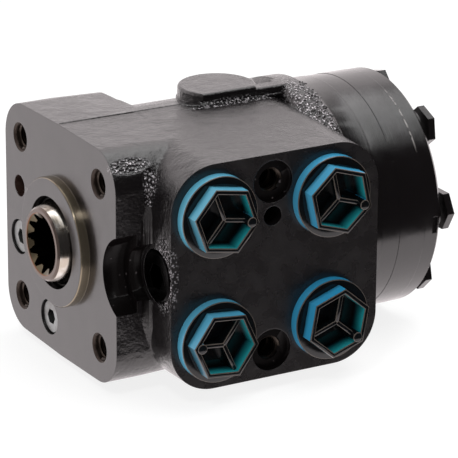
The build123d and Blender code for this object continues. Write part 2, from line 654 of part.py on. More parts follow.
def check_bushing():
    """Threaded bushing in the pressure port with the check ball's seat at its inner end."""
    x, z, _ = PLUG_TURNS["pressure"]
    outer = rod_inward(CHECK_SEAT_Y - 4.6, CHECK_SEAT_Y - 0.6, CHECK_BORE_R - 0.05, x, z)
    return outer - rod_inward(CHECK_SEAT_Y - 5, CHECK_SEAT_Y, 3.0, x, z)


def suction_pins():
    """Roll pins that keep the suction balls in their bores."""
    pins = [ring(86, HOUSING_END_X - 0.3, 1.6, SUCTION_R - 0.05, y, z) for y, z in suction_places()]
    return Compound(children=pins)


# --- port plugs ----------------------------------------------------------------------------

def port_plug(x, z, turn):
    """Shipping plug: round flange, hollow hexagon with a three-armed rib, hollow shank."""
    face = facing_ports(BLOCK_FACE_Y, x, z)
    body = extrude(face * Circle(PLUG_DISC_R), PLUG_DISC_THICK)
    body = chamfer(body.edges().group_by(Axis.Y)[0], 0.5)
    out = facing_ports(BLOCK_FACE_Y - PLUG_DISC_THICK, x, z)
    outer = Rot(0, 0, turn) * RegularPolygon(PLUG_HEX_FLATS / 2, 6, major_radius=False, rotation=0)
    inner = Rot(0, 0, turn) * RegularPolygon(PLUG_HEX_FLATS / 2 - PLUG_WALL, 6, major_radius=False)
    body += extrude(out * outer, PLUG_HEX_HEIGHT)
    body -= extrude(facing_ports(BLOCK_FACE_Y - 1.8, x, z) * inner, PLUG_HEX_HEIGHT + 5)
    reach = PLUG_HEX_FLATS / 2 / cos(radians(30)) - PLUG_WALL
    for i in range(3):
        arm = Rot(0, 0, turn + 120 * i) * (Pos(reach / 2, 0) * Rectangle(reach, 1.6))
        body += extrude(facing_ports(BLOCK_FACE_Y - 1.0, x, z) * arm, PLUG_DISC_THICK + PLUG_HEX_HEIGHT - 3.4)
    stud = Rot(0, 0, turn) * (Pos(reach - 1.4, 0) * Circle(1.8))
    body += extrude(facing_ports(BLOCK_FACE_Y - 1.0, x, z) * stud, PLUG_DISC_THICK + PLUG_HEX_HEIGHT - 2.6)
    shank = rod_inward(BLOCK_FACE_Y, BLOCK_FACE_Y + PLUG_SHANK_LENGTH, PLUG_SHANK_R, x, z)
    shank -= rod_inward(BLOCK_FACE_Y + 1, BLOCK_FACE_Y + PLUG_SHANK_LENGTH + 1, PLUG_SHANK_R - 2.2, x, z)
    return body + shank


def build():
    cap_screws, pin_screw = screws()
    nodes = {
        "housing": housing(),
        "spool": spool(),
        "sleeve": sleeve(),
        "cross_pin": cross_pin(),
        "centring_springs": centring_springs(),
        "spring_ring": spring_ring(),
        "cardan_shaft": cardan_shaft(),
        "distributor_plate": distributor_plate(),
        "gear_ring": gear_ring(),
        "star_gear": star_gear(),
        "drive_spacer": drive_spacer(),
        "end_cover": end_cover(),
        "cap_screws": cap_screws,
        "pin_screw": pin_screw,
        "screw_washers": screw_washers(),
        "face_seal_housing": face_seal(HOUSING_END_X - 1.39),
        "face_seal_front": face_seal(RING_START_X + 0.02),
        "face_seal_rear": face_seal(COVER_START_X - 1.39),
        "shaft_seal": shaft_seal(),
        "dust_seal": dust_seal(),
        "bearing_race_fixed": ring(BEARING_SEAT_X, 13.45, 15.3, SLEEVE_R),
        "needle_cage": needle_cage(),
        "bearing_race_turning": ring(15.35, SLEEVE_START_X - 0.05, 15.3, SLEEVE_R - 0.1),
        "check_bushing": check_bushing(),
        "check_ball": ball(PORT_X[0], CHECK_SEAT_Y + 2.4, PORT_Z, CHECK_BALL_R),
        "suction_pins": suction_pins(),
        "relief_plug": relief_plug(),
        "relief_washer": relief_washer(),
        "relief_spring": coil(22.1, 39.9, 3.6, 1.1, 5, RELIEF_Y, 0),
        "relief_poppet": relief_poppet(),
        "relief_seat": relief_seat(),
    }
    for name, (y, z) in zip(("left", "right"), suction_places()):
        nodes["suction_ball_" + name] = ball(80.55, y, z, SUCTION_BALL_R)
    for name, (y, z) in SHOCK_PLACES.items():
        nodes["shock_plug_" + name] = shock_plug(y, z)
        nodes["shock_spring_" + name] = coil(9.1, 21.4, 3.4, 1.0, 4, y, z)
        nodes["shock_ball_" + name] = ball(SHOCK_DEPTH - 3.4, y, z, 4.0)
    for name, (x, z, turn) in PLUG_TURNS.items():
        nodes["port_plug_" + name] = port_plug(x, z, turn)
    return nodes


os.makedirs("parts", exist_ok=True)
for node, shape in build().items():
    shape.label = node
    export_step(shape, "parts/" + node + ".step")
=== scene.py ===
import json
import logging
import math
from contextlib import contextmanager
from dataclasses import dataclass
from enum import Enum
from functools import cached_property, reduce
from typing import Any, Iterator, Sequence

import bmesh
import bpy
from mathutils import Matrix, Vector

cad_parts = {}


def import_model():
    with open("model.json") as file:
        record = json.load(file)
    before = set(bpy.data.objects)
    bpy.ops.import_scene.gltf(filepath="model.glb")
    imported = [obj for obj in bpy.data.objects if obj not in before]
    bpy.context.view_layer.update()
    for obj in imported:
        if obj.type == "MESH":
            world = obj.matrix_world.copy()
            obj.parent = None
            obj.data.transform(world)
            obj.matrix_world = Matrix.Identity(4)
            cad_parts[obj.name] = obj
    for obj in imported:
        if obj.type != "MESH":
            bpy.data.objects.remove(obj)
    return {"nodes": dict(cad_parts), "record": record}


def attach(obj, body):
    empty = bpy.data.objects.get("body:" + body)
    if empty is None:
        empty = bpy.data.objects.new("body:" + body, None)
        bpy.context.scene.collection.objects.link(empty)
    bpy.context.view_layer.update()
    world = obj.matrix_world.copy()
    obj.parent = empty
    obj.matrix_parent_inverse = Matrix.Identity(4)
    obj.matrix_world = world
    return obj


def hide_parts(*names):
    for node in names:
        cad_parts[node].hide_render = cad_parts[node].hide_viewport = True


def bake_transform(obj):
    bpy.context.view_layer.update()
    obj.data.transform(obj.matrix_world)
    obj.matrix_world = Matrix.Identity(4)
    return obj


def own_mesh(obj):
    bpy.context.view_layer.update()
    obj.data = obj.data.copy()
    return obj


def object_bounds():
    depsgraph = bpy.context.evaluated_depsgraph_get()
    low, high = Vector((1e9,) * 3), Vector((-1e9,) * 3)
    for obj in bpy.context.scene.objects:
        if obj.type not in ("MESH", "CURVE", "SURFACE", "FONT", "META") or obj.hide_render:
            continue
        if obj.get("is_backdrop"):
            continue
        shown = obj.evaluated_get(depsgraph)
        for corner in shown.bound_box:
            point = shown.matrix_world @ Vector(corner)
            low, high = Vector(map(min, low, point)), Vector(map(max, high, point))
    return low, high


LOG = logging.getLogger("steering_unit")
MM = 0.001
WELD = 0.001 * MM  # Points closer than this are one.
COLUMN_BOLT = 29.17  # Place of the column's bolts, along Y as along Z.
RELIEF_Y = -46.8  # Place of the relief valve's line.
Point = tuple[float, float, float]
Pair = tuple[float, float]
Object, Mesh, Material = bpy.types.Object, bpy.types.Mesh, bpy.types.Material
Tree, Node, Socket = bpy.types.NodeTree, bpy.types.Node, bpy.types.NodeSocket
BMesh, Vert, Edge, Face = bmesh.types.BMesh, bmesh.types.BMVert, bmesh.types.BMEdge, bmesh.types.BMFace


def linear(code: str) -> tuple[float, float, float, float]:
    """Turns an sRGB hex colour, such as "1c1a1b", into linear RGBA."""
    values = [int(code[i:i + 2], 16) / 255 for i in (0, 2, 4)]
    red, green, blue = [v / 12.92 if v <= 0.04045 else ((v + 0.055) / 1.055) ** 2.4 for v in values]
    return red, green, blue, 1.0


class Nodes:
    """A node tree, with the kinds of node that recur in every recipe."""

    def __init__(self, tree: Tree) -> None:
        self.tree = tree

    def feed(self, node: Node, inputs: dict[Any, Any]) -> None:
        """Gives inputs, by name or number, a value, a socket, or a list of sockets that all join it."""
        for name, value in inputs.items():
            for one in value if isinstance(value, list) else [value]:
                if isinstance(one, Socket):
                    self.tree.links.new(one, node.inputs[name])
                else:
                    node.inputs[name].default_value = one

    def add(self, kind: str, inputs: dict[Any, Any] | None = None, **settings: Any) -> Node:
        """Adds one node by its class name, with its inputs and its own properties."""
        node = self.tree.nodes.new(kind)
        for name, value in settings.items():
            setattr(node, name, value)
        self.feed(node, inputs or {})
        return node

    def calc(self, operation: str, *values: Socket | float) -> Socket:
        """Works a number out of others."""
        return self.add("ShaderNodeMath", dict(enumerate(values)), operation=operation).outputs[0]

    def vector(self, operation: str, *values: Any) -> Socket:
        """Works a vector out of others."""
        return self.add("ShaderNodeVectorMath", dict(enumerate(values)), operation=operation).outputs[0]

    def measure(self, operation: str, *values: Any) -> Socket:
        """Works a number out of vectors."""
        node = self.add("ShaderNodeVectorMath", dict(enumerate(values)), operation=operation)
        return node.outputs["Value"]

    def combine(self, x: Socket | float = 0.0, y: Socket | float = 0.0, z: Socket | float = 0.0) -> Socket:
        """Makes a vector of three numbers."""
        return self.add("ShaderNodeCombineXYZ", {0: x, 1: y, 2: z}).outputs[0]

    def any_of(self, *masks: Socket | float) -> Socket:
        """Joins masks: the result is on where any of them is."""
        return reduce(lambda joined, mask: self.calc("MAXIMUM", joined, mask), masks)

    def all_of(self, *masks: Socket | float) -> Socket:
        """Joins masks: the result is on where all of them are."""
        return reduce(lambda joined, mask: self.calc("MULTIPLY", joined, mask), masks)

    def span(self, value: Socket, low: float, high: float, to_low: float = 0.0, to_high: float = 1.0,
             **settings: Any) -> Socket:
        """Stretches the range from low to high over another one, and stays at its ends beyond."""
        return self.add("ShaderNodeMapRange", {"Value": value, "From Min": low, "From Max": high,
                                               "To Min": to_low, "To Max": to_high}, **settings).outputs[0]

    def mix(self, factor: Socket, first: Socket | str, second: Socket | str) -> Socket:
        """Blends two colours, each a socket or an sRGB hex code."""
        ends = [linear(end) if isinstance(end, str) else end for end in (first, second)]
        made = self.add("ShaderNodeMix", {"Factor": factor, 6: ends[0], 7: ends[1]}, data_type="RGBA")
        return made.outputs[2]

    def blend(self, factor: Socket, first: Socket | float, second: Socket | float) -> Socket:
        """Blends two numbers."""
        return self.add("ShaderNodeMix", {"Factor": factor, 2: first, 3: second}, data_type="FLOAT").outputs[0]


class Finish(Nodes):
    """A material in the making. Lengths are in millimetres, in the object's own space."""

    def __init__(self, name: str) -> None:
        self.material = bpy.data.materials.new(name)
        self.material.use_nodes = True
        super().__init__(self.material.node_tree)
        self.tree.nodes.clear()
        self.shader = self.add("ShaderNodeBsdfPrincipled")
        self.add("ShaderNodeOutputMaterial", {"Surface": self.shader.outputs[0]})

    @cached_property
    def place(self) -> Socket:
        """The object's own coordinates."""
        return self.add("ShaderNodeTexCoord").outputs["Object"]

    @cached_property
    def axes(self) -> list[Socket]:
        """The three coordinates, one by one."""
        return list(self.add("ShaderNodeSeparateXYZ", {0: self.place}).outputs)

    @cached_property
    def away(self) -> Socket:
        """Distance from the shaft's line."""
        return self.measure("LENGTH", self.combine(0.0, self.axes[1], self.axes[2]))

    @cached_property
    def lathe(self) -> Socket:
        """Along the shaft, out from it, a little of the turn: a lathe's grooves are straight lines here."""
        return self.combine(self.axes[0], self.away, self.calc("MULTIPLY", self.axes[2], 0.02))

    def below(self, value: Socket, limit: float) -> Socket:
        """Masks where a length is less than the limit."""
        return self.calc("LESS_THAN", value, limit * MM)

    def above(self, value: Socket, limit: float) -> Socket:
        """Masks where a length is more than the limit."""
        return self.calc("GREATER_THAN", value, limit * MM)

    def within(self, u: Socket, v: Socket, middle: Pair, radius: float) -> Socket:
        """Masks a circle in the plane of two coordinates."""
        sides = [self.calc("SUBTRACT", side, at * MM) for side, at in zip((u, v), middle)]
        return self.below(self.measure("LENGTH", self.combine(*sides)), radius)

    def patch(self, centre: Point, reach: Point) -> Socket:
        """Masks an ellipsoid, given by its half lengths, that fades to zero at its edge."""
        moved = self.vector("SUBTRACT", self.place, Vector(centre) * MM)
        return self.span(self.measure("LENGTH", self.vector("DIVIDE", moved, Vector(reach) * MM)), 1.0, 0.65)

    def noise(self, scale: float, detail: float = 2.0, place: Socket | None = None, **more: float) -> Socket:
        """Cloudy pattern with so many swells to the metre."""
        inputs = {"Vector": place or self.place, "Scale": scale, "Detail": detail, **more}
        return self.add("ShaderNodeTexNoise", inputs).outputs[0]

    def rounded(self, radius: float) -> Socket:
        """The surface's normal, turned over its edges as if they were rounded."""
        return self.add("ShaderNodeBevel", {"Radius": radius * MM}, samples=4).outputs[0]

    def bump(self, height: Socket, depth: float, strength: Socket | float,
             under: Socket | None = None) -> Socket:
        """Raises the surface by a pattern, on top of the normal under it."""
        inputs = {"Strength": strength, "Distance": depth * MM, "Height": height}
        return self.add("ShaderNodeBump", {**inputs, "Normal": under} if under else inputs).outputs[0]

    def close(self, **inputs: Any) -> Material:
        """Feeds the shader, whose input names are written with underscores, and hands over the material."""
        self.feed(self.shader, {name.replace("_", " "): value for name, value in inputs.items()})
        return self.material


@dataclass(frozen=True)
class PaintedCastIron:
    """Black alkyd paint sprayed on sand-cast iron.

    The coat is a soft gloss over the grain of the sand, so the skin glitters where it turns to a lamp.
    In the fettled patches the lump tops are painted light grey and metallic: painted sparkles.
    Milled and turned faces under the same coat are flat, with the cutter's faint marks.
    """

    name: str = "black_paint_on_cast_iron"
    colour: str = "100d0e"
    dust: str = "33292b"
    rubbed: str = "191516"
    # Bare cut iron of the column holes, darkened as painted shade inside them.
    bare: str = "3c322c"
    rusty: str = "3a2a25"
    # Light grey of the painted sparkles on the fettled lumps.
    painted_glint_grey: str = "c9c4c8"
    ground: str = "8d8270"
    ior: float = 1.72
    sand_grain: float = 1.1
    skin_depth: float = 0.26
    grit_depth: float = 0.07
    groove_depth: float = 0.05
    edge_radius: float = 0.35
    thread_reach: float = 5.4
    plain_hole: Pair = (30.2, 11.1)
    plain_hole_reach: float = 4.0
    hole_depth: float = 21.0
    port_face_y: float = -56.95
    flange_face_x: float = 0.05
    turned_from_x: float = 95.2
    bore_radius: float = 19.2
    pilot_radius: float = 22.75
    mill_centre: Point = (0.0, 95.0, -60.0)
    scallop_radius: float = 15.0
    scallop_end_x: float = 12.1
    fettled: tuple[tuple[Point, Point], ...] = (
        ((89.2, -22.0, 38.0), (6.3, 30.0, 14.0)),
        ((7.0, -37.3, 36.3), (9.0, 3.4, 3.2)),
        ((13.2, -41.5, 30.0), (3.0, 3.5, 9.0)),
        ((13.0, -52.0, 2.0), (3.0, 8.0, 15.0)),
        ((66.0, -6.5, 41.6), (22.0, 2.2, 3.0)),
    )

    def build(self) -> Material:
        """Builds the finish."""
        made = Finish(self.name)
        x, y, _ = made.axes
        port = made.below(y, self.port_face_y)
        flange = made.below(x, self.flange_face_x)
        turned = made.above(x, self.turned_from_x)
        bore = made.below(made.away, self.bore_radius)
        cast = made.calc("SUBTRACT", 1.0, made.any_of(port, flange, turned, self.scallop(made), bore))
        fettled = made.any_of(*[made.patch(centre, reach) for centre, reach in self.fettled])

        sand = made.noise(1 / (self.sand_grain * MM), 5.0, Roughness=0.62)
        swell = made.noise(160.0)
        lumps = made.add("ShaderNodeTexVoronoi", {"Vector": made.place, "Scale": 1250.0},
                         feature="SMOOTH_F1").outputs[0]
        skin = made.calc("MULTIPLY_ADD", swell, 1.8, sand)
        skin = made.calc("MULTIPLY_ADD", made.all_of(lumps, fettled), -3.0, skin)
        bump = made.bump(skin, self.skin_depth, made.span(cast, 0.0, 1.0, 0.0, 0.85),
                         made.rounded(self.edge_radius))
        bump = made.bump(made.noise(1500.0, 3.0), self.grit_depth, made.calc("MULTIPLY", port, 0.55), bump)
        bump = made.bump(made.noise(1700.0, 2.0, made.lathe), self.groove_depth,
                         made.calc("MULTIPLY", turned, 0.35), bump)

        speck = made.all_of(made.span(made.noise(1700.0, 2.5), 0.62, 0.74), port)
        tapped, drilled = self.holes(made)
        rim = self.pilot_wall(made)
        # Painted sparkles: the lump tops in the fettled patches turn light grey and metallic.
        painted_glints = made.all_of(made.span(lumps, 0.36, 0.24), fettled)
        base = made.mix(speck, self.colour, self.dust)
        # The tapped walls' bare iron is darkened as painted shade inside the holes.
        for mask, colour in ((self.milling(made, flange), self.rubbed), (tapped, self.bare),
                             (drilled, self.rusty), (rim, self.ground), (painted_glints, self.painted_glint_grey)):
            base = made.mix(mask, base, colour)
        # Metallic where the pilot wall and the threads are bare, and at the painted sparkles.
        metal = made.calc("MULTIPLY", made.any_of(rim, tapped, painted_glints), 0.8)
        dull = made.span(swell, 0.35, 0.65, 0.19, 0.25)
        for mask, change in ((port, 0.06), (turned, -0.04), (tapped, 0.25)):
            dull = made.calc("MULTIPLY_ADD", mask, change, dull)
        return made.close(Base_Color=base, Metallic=metal, Roughness=dull, Normal=bump, IOR=self.ior)

    def milling(self, made: Finish, flange: Socket) -> Socket:
        """Masks the broad faint arcs that the face mill left on the column flange."""
        away = made.measure("LENGTH", made.vector("SUBTRACT", made.place, Vector(self.mill_centre) * MM))
        steps = made.add("ShaderNodeTexNoise", {"W": away, "Scale": 95.0, "Detail": 1.0},
                         noise_dimensions="1D")
        return made.all_of(made.span(steps.outputs[0], 0.48, 0.54), flange)

    def holes(self, made: Finish) -> tuple[Socket, Socket]:
        """Masks the bare walls of the column holes and of the plain hole beside them."""
        x, y, z = made.axes
        folded = [made.calc("ABSOLUTE", side) for side in (y, z)]
        column = made.within(*folded, (COLUMN_BOLT, COLUMN_BOLT), self.thread_reach)
        plain = made.within(y, z, self.plain_hole, self.plain_hole_reach)
        deep, front = made.above(x, 0.02), made.below(x, self.hole_depth)
        return made.all_of(column, deep, front), made.all_of(plain, deep, front)

    def scallop(self, made: Finish) -> Socket:
        """Masks the milled clearance in front of the relief plug."""
        x, y, z = made.axes
        return made.all_of(made.within(y, z, (RELIEF_Y, 0.0), self.scallop_radius),
                           made.below(x, self.scallop_end_x))

    def pilot_wall(self, made: Finish) -> Socket:
        """Masks the bare ground wall of the pilot, which stands proud of the flange."""
        return made.all_of(made.above(made.away, self.pilot_radius - 0.45),
                           made.below(made.away, self.pilot_radius + 0.05), made.below(made.axes[0], -0.02))


@dataclass(frozen=True)
class IronInPaintedShade:
    """Milled iron in a clearance, darker than the paint: painted shade, with spots of painted sparkle."""

    name: str = "greasy_milled_iron"
    colour: str = "0b0808"
    painted_glint_tone: str = "6f6668"
    ior: float = 1.22
    roughness: float = 0.34
    ripple_noise_depth: float = 0.12

    def build(self) -> Material:
        """Builds the finish."""
        made = Finish(self.name)
        ripple_noise = made.noise(520.0, 3.0)
        # Spots of painted sparkle where the ripple noise peaks.
        base = made.mix(made.span(ripple_noise, 0.68, 0.78), self.colour, self.painted_glint_tone)
        return made.close(Base_Color=base, Normal=made.bump(ripple_noise, self.ripple_noise_depth, 0.5), IOR=self.ior,
                          Roughness=self.roughness)


@dataclass(frozen=True)
class PaintedTurnedSteel:
    """Black alkyd paint over turned steel: smoother than on the casting, ringed by the lathe.

    Along the cover's joint the coat is chipped to bright metal.
    """

    name: str = "black_paint_on_turned_steel"
    colour: str = "100d0e"
    chip: str = "a7a3a0"
    roughness: float = 0.17
    ior: float = 1.72
    edge_radius: float = 0.3
    groove_depth: float = 0.05
    swell_depth: float = 0.25
    joint_x: float = 121.7
    joint_radius: float = 42.2
    chip_width: float = 0.45

    def build(self) -> Material:
        """Builds the finish."""
        made = Finish(self.name)
        swell = made.noise(130.0, 3.0)
        bump = made.bump(made.noise(1700.0, 3.0, made.lathe), self.groove_depth, 0.16,
                         made.rounded(self.edge_radius))
        bump = made.bump(swell, self.swell_depth, 0.22, bump)
        off = made.calc("ABSOLUTE", made.calc("SUBTRACT", made.axes[0], self.joint_x * MM))
        worn = made.all_of(
            made.span(off, self.chip_width * MM, 0.0), made.above(made.away, self.joint_radius),
            made.patch((self.joint_x, -26.0, 34.0), (4.0, 15.0, 15.0)),
            made.span(made.noise(520.0, 4.0), 0.42, 0.52))
        gloss = made.span(swell, 0.3, 0.7, self.roughness - 0.04, self.roughness + 0.06)
        return made.close(Base_Color=made.mix(worn, self.colour, self.chip), Roughness=gloss, Normal=bump,
                          IOR=self.ior)


@dataclass(frozen=True)
class BareMetal:
    """Bare or plated steel: mirror-like under fine rings from turning or grinding, with stains of oil."""

    name: str
    colour: str
    stain: str
    roughness: float = 0.2
    stained: float = 0.5
    groove_scale: float = 2400.0
    groove_depth: float = 0.04
    edge_radius: float = 0.25

    def finish(self) -> Finish:
        """Builds the finish and leaves it open for stains."""
        made = Finish(self.name)
        rings = made.noise(self.groove_scale, 3.0, made.lathe)
        oily = made.span(made.noise(260.0, 4.0), 0.40, 0.62, 0.0, self.stained)
        gloss = made.span(rings, 0.0, 1.0, self.roughness * 0.75, self.roughness * 1.3)
        made.close(Base_Color=made.mix(oily, self.colour, self.stain), Roughness=gloss, Metallic=1.0,
                   Normal=made.bump(rings, self.groove_depth, 0.2, made.rounded(self.edge_radius)))
        return made

    def build(self) -> Material:
        """Builds the finish."""
        return self.finish().material


@dataclass(frozen=True)
class GroundNose(BareMetal):
    """Ground steel of the valve spool: bright on its round nose, brown with old oil and painted shade down the
    spline.
    """

    name: str = "ground_and_oiled_steel"
    colour: str = "d8d3cc"
    stain: str = "a3917a"
    roughness: float = 0.17
    # Spline inside the bore: old oil, darkened further as painted shade.
    spline: str = "575040"
    ring: str = "665c56"
    rust: str = "6d4322"
    bore_radius: float = 10.75
    rust_radius: float = 11.0
    ring_end_x: float = -6.25

    def finish(self) -> Finish:
        """Builds the finish, then stains the front ring and its lip, and darkens the spline: oil and painted
        shade.
        """
        made = super().finish()
        base = made.shader.inputs["Base Color"].links[0].from_socket
        for mask, colour in ((made.below(made.axes[0], self.ring_end_x), self.ring),
                             (made.below(made.away, self.rust_radius), self.rust),
                             (made.below(made.away, self.bore_radius), self.spline)):
            base = made.mix(mask, base, colour)
        made.close(Base_Color=base)
        return made


class PlugFace(Enum):
    """How light leaves a face of the clear moulding."""

    FLAT = "flat"
    OUTER_WALL = "outer_wall"
    INNER_WALL = "inner_wall"
    EDGE = "edge"


@dataclass(frozen=True)
class TintedPolyethylene:
    """Moulded polyethylene, clear with a cyan tint.

    Its flats show the dark port behind them. Its walls, as if seen end on through their own depth, glow with
    the tint in painted light, palest where the light enters, with painted shade away from it. Its rounded
    edges are thin brownish lines of painted highlight.
    """

    name: str = "tinted_polyethylene"
    clear: str = "0c0a0a"
    # Brownish painted highlight on the rounded edges, in place of their reflection.
    edge: str = "5f5650"
    # Outer wall tints of painted light: pale towards the lamp, deep away from it; shaded is painted shade.
    pale: str = "62adc6"
    deep: str = "0d92c6"
    shaded: str = "12313a"
    # Inner wall tints: painted light towards the rim, painted shade deep in the cup.
    inner_light: str = "23979f"
    inner_dark: str = "021a22"
    ior: float = 1.51
    flat_roughness: float = 0.12
    wall_roughness: float = 0.3
    ripple_depth: float = 0.08
    rim_y: float = -65.3
    face_y: float = -57.0
    disc_y: float = -60.45
    light_side: Point = (-0.5, 0.0, 0.866)

    def build(self, face: PlugFace) -> Material:
        """Builds the finish of one kind of face."""
        made = Finish(f"{self.name}_{face.value}")
        ripple = made.noise(420.0)
        height = made.span(made.axes[1], self.face_y * MM, self.rim_y * MM)
        is_flat = face in (PlugFace.FLAT, PlugFace.EDGE)
        if is_flat:
            # Edges take the painted highlight colour.
            code = self.clear if face is PlugFace.FLAT else self.edge
            base = made.mix(made.span(ripple, 0.3, 0.7, 0.0, 0.25), code, self.inner_dark)
        elif face is PlugFace.INNER_WALL:
            # Painted shade deep in the cup, painted light towards the rim.
            base = made.mix(made.span(height, 0.3, 1.0), self.inner_dark, self.inner_light)
        else:
            base = self.outer_wall(made, height)
        return made.close(Base_Color=base, Normal=made.bump(ripple, self.ripple_depth, 0.25), IOR=self.ior,
                          Roughness=self.flat_roughness if is_flat else self.wall_roughness)

    def outer_wall(self, made: Finish, height: Socket) -> Socket:
        """Painted light on outer walls: deeper away from the light, painted shade behind and at the foot."""
        x, y, z = made.axes
        # Painted light: the tint deepens away from the lamp, towards +X and -Z.
        depth = made.calc("ADD", made.span(x, 15.0 * MM, 86.0 * MM, 0.0, 0.75),
                          made.span(z, 36.0 * MM, -20.0 * MM, 0.0, 0.25))
        # Painted light and shade by how a face turns to the light side.
        facing = made.add("ShaderNodeNewGeometry").outputs["True Normal"]
        disc = made.above(y, self.disc_y)
        lit = made.calc("MULTIPLY_ADD", disc, 0.35, made.measure("DOT_PRODUCT", facing, self.light_side))
        foot = made.any_of(made.span(height, 0.40, 0.62, 0.35), disc)
        return made.mix(made.all_of(made.span(lit, 0.0, 0.3), foot), self.shaded,
                        made.mix(depth, self.pale, self.deep))


@dataclass(frozen=True)
class NitrileRubber:
    """Black nitrile rubber with a moulded matt skin, a little greasy."""

    name: str = "nitrile_rubber"
    colour: str = "121110"
    roughness: float = 0.5
    skin_depth: float = 0.02

    def build(self) -> Material:
        """Builds the finish."""
        made = Finish(self.name)
        return made.close(Base_Color=linear(self.colour), Roughness=self.roughness,
                          Normal=made.bump(made.noise(2500.0), self.skin_depth, 0.2))


def placed(name: str, data: bpy.types.ID) -> Object:
    """Puts an object with this mesh, camera or lamp at the scene's origin."""
    obj = bpy.data.objects.new(name, data)
    bpy.context.scene.collection.objects.link(obj)
    return obj


def mesh_object(name: str, mesh: Mesh, finishes: list[Material]) -> Object:
    """Puts a piece in the scene, with its materials in slot order."""
    mesh.name = name
    for finish in finishes:
        mesh.materials.append(finish)
    LOG.info("piece %s: %d faces", name, len(mesh.polygons))
    return placed(name, mesh)


def smooth_below(mesh: Mesh, degrees: float) -> None:
    """Shades a mesh smooth and keeps edges sharper than the angle sharp."""
    for polygon in mesh.polygons:
        polygon.use_smooth = True
    mesh.set_sharp_from_angle(angle=math.radians(degrees))


@contextmanager
def shaping(mesh: Mesh, source: Mesh | None = None) -> Iterator[BMesh]:
    """Opens a mesh, or a source in its place, for editing, and writes the result to the mesh."""
    bm = bmesh.new()
    bm.from_mesh(source or mesh)
    yield bm
    bm.to_mesh(mesh)
    bm.free()


def polar(radius: float, angle: float, middle: Pair = (0.0, 0.0)) -> Pair:
    """A point this far from the middle, at an angle in radians."""
    return middle[0] + radius * math.cos(angle), middle[1] + radius * math.sin(angle)


def band(bm: BMesh, near: list[Vert], far: list[Vert]) -> list[Face]:
    """Joins two closed outlines that have as many points by faces."""
    pairs = [(i, (i + 1) % len(near)) for i in range(len(near))]
    return [bm.faces.new((near[j], near[i], far[i], far[j])) for i, j in pairs]


def solid(bm: BMesh, near: list[Vert], far: list[Vert]) -> Face:
    """Closes two outlines and the band between them, and gives the far face."""
    bm.faces.new(near)
    top = bm.faces.new(list(reversed(far)))
    band(bm, near, far)
    return top


def loft(name: str, low: list[Vector], high: list[Vector]) -> Object:
    """Makes an object of a solid between two outlines that have as many points, in millimetres."""
    mesh = bpy.data.meshes.new(name)
    with shaping(mesh) as bm:
        solid(bm, *[[bm.verts.new(point * MM) for point in outline] for outline in (low, high)])
        bmesh.ops.recalc_face_normals(bm, faces=bm.faces)
    return placed(name, mesh)


def baked(obj: Object) -> Mesh:
    """Takes an object's mesh with its modifiers applied, and removes the object."""
    graph = bpy.context.evaluated_depsgraph_get()
    mesh = bpy.data.meshes.new_from_object(obj.evaluated_get(graph), depsgraph=graph)
    bpy.data.objects.remove(obj)
    return mesh


def less(obj: Object, tool: Object) -> Mesh:
    """Takes an object's mesh with another object cut from it, and removes both."""
    cut = obj.modifiers.new("cut", "BOOLEAN")
    cut.operation, cut.solver, cut.object = "DIFFERENCE", "EXACT", tool
    mesh = baked(obj)
    bpy.data.objects.remove(tool)
    return mesh


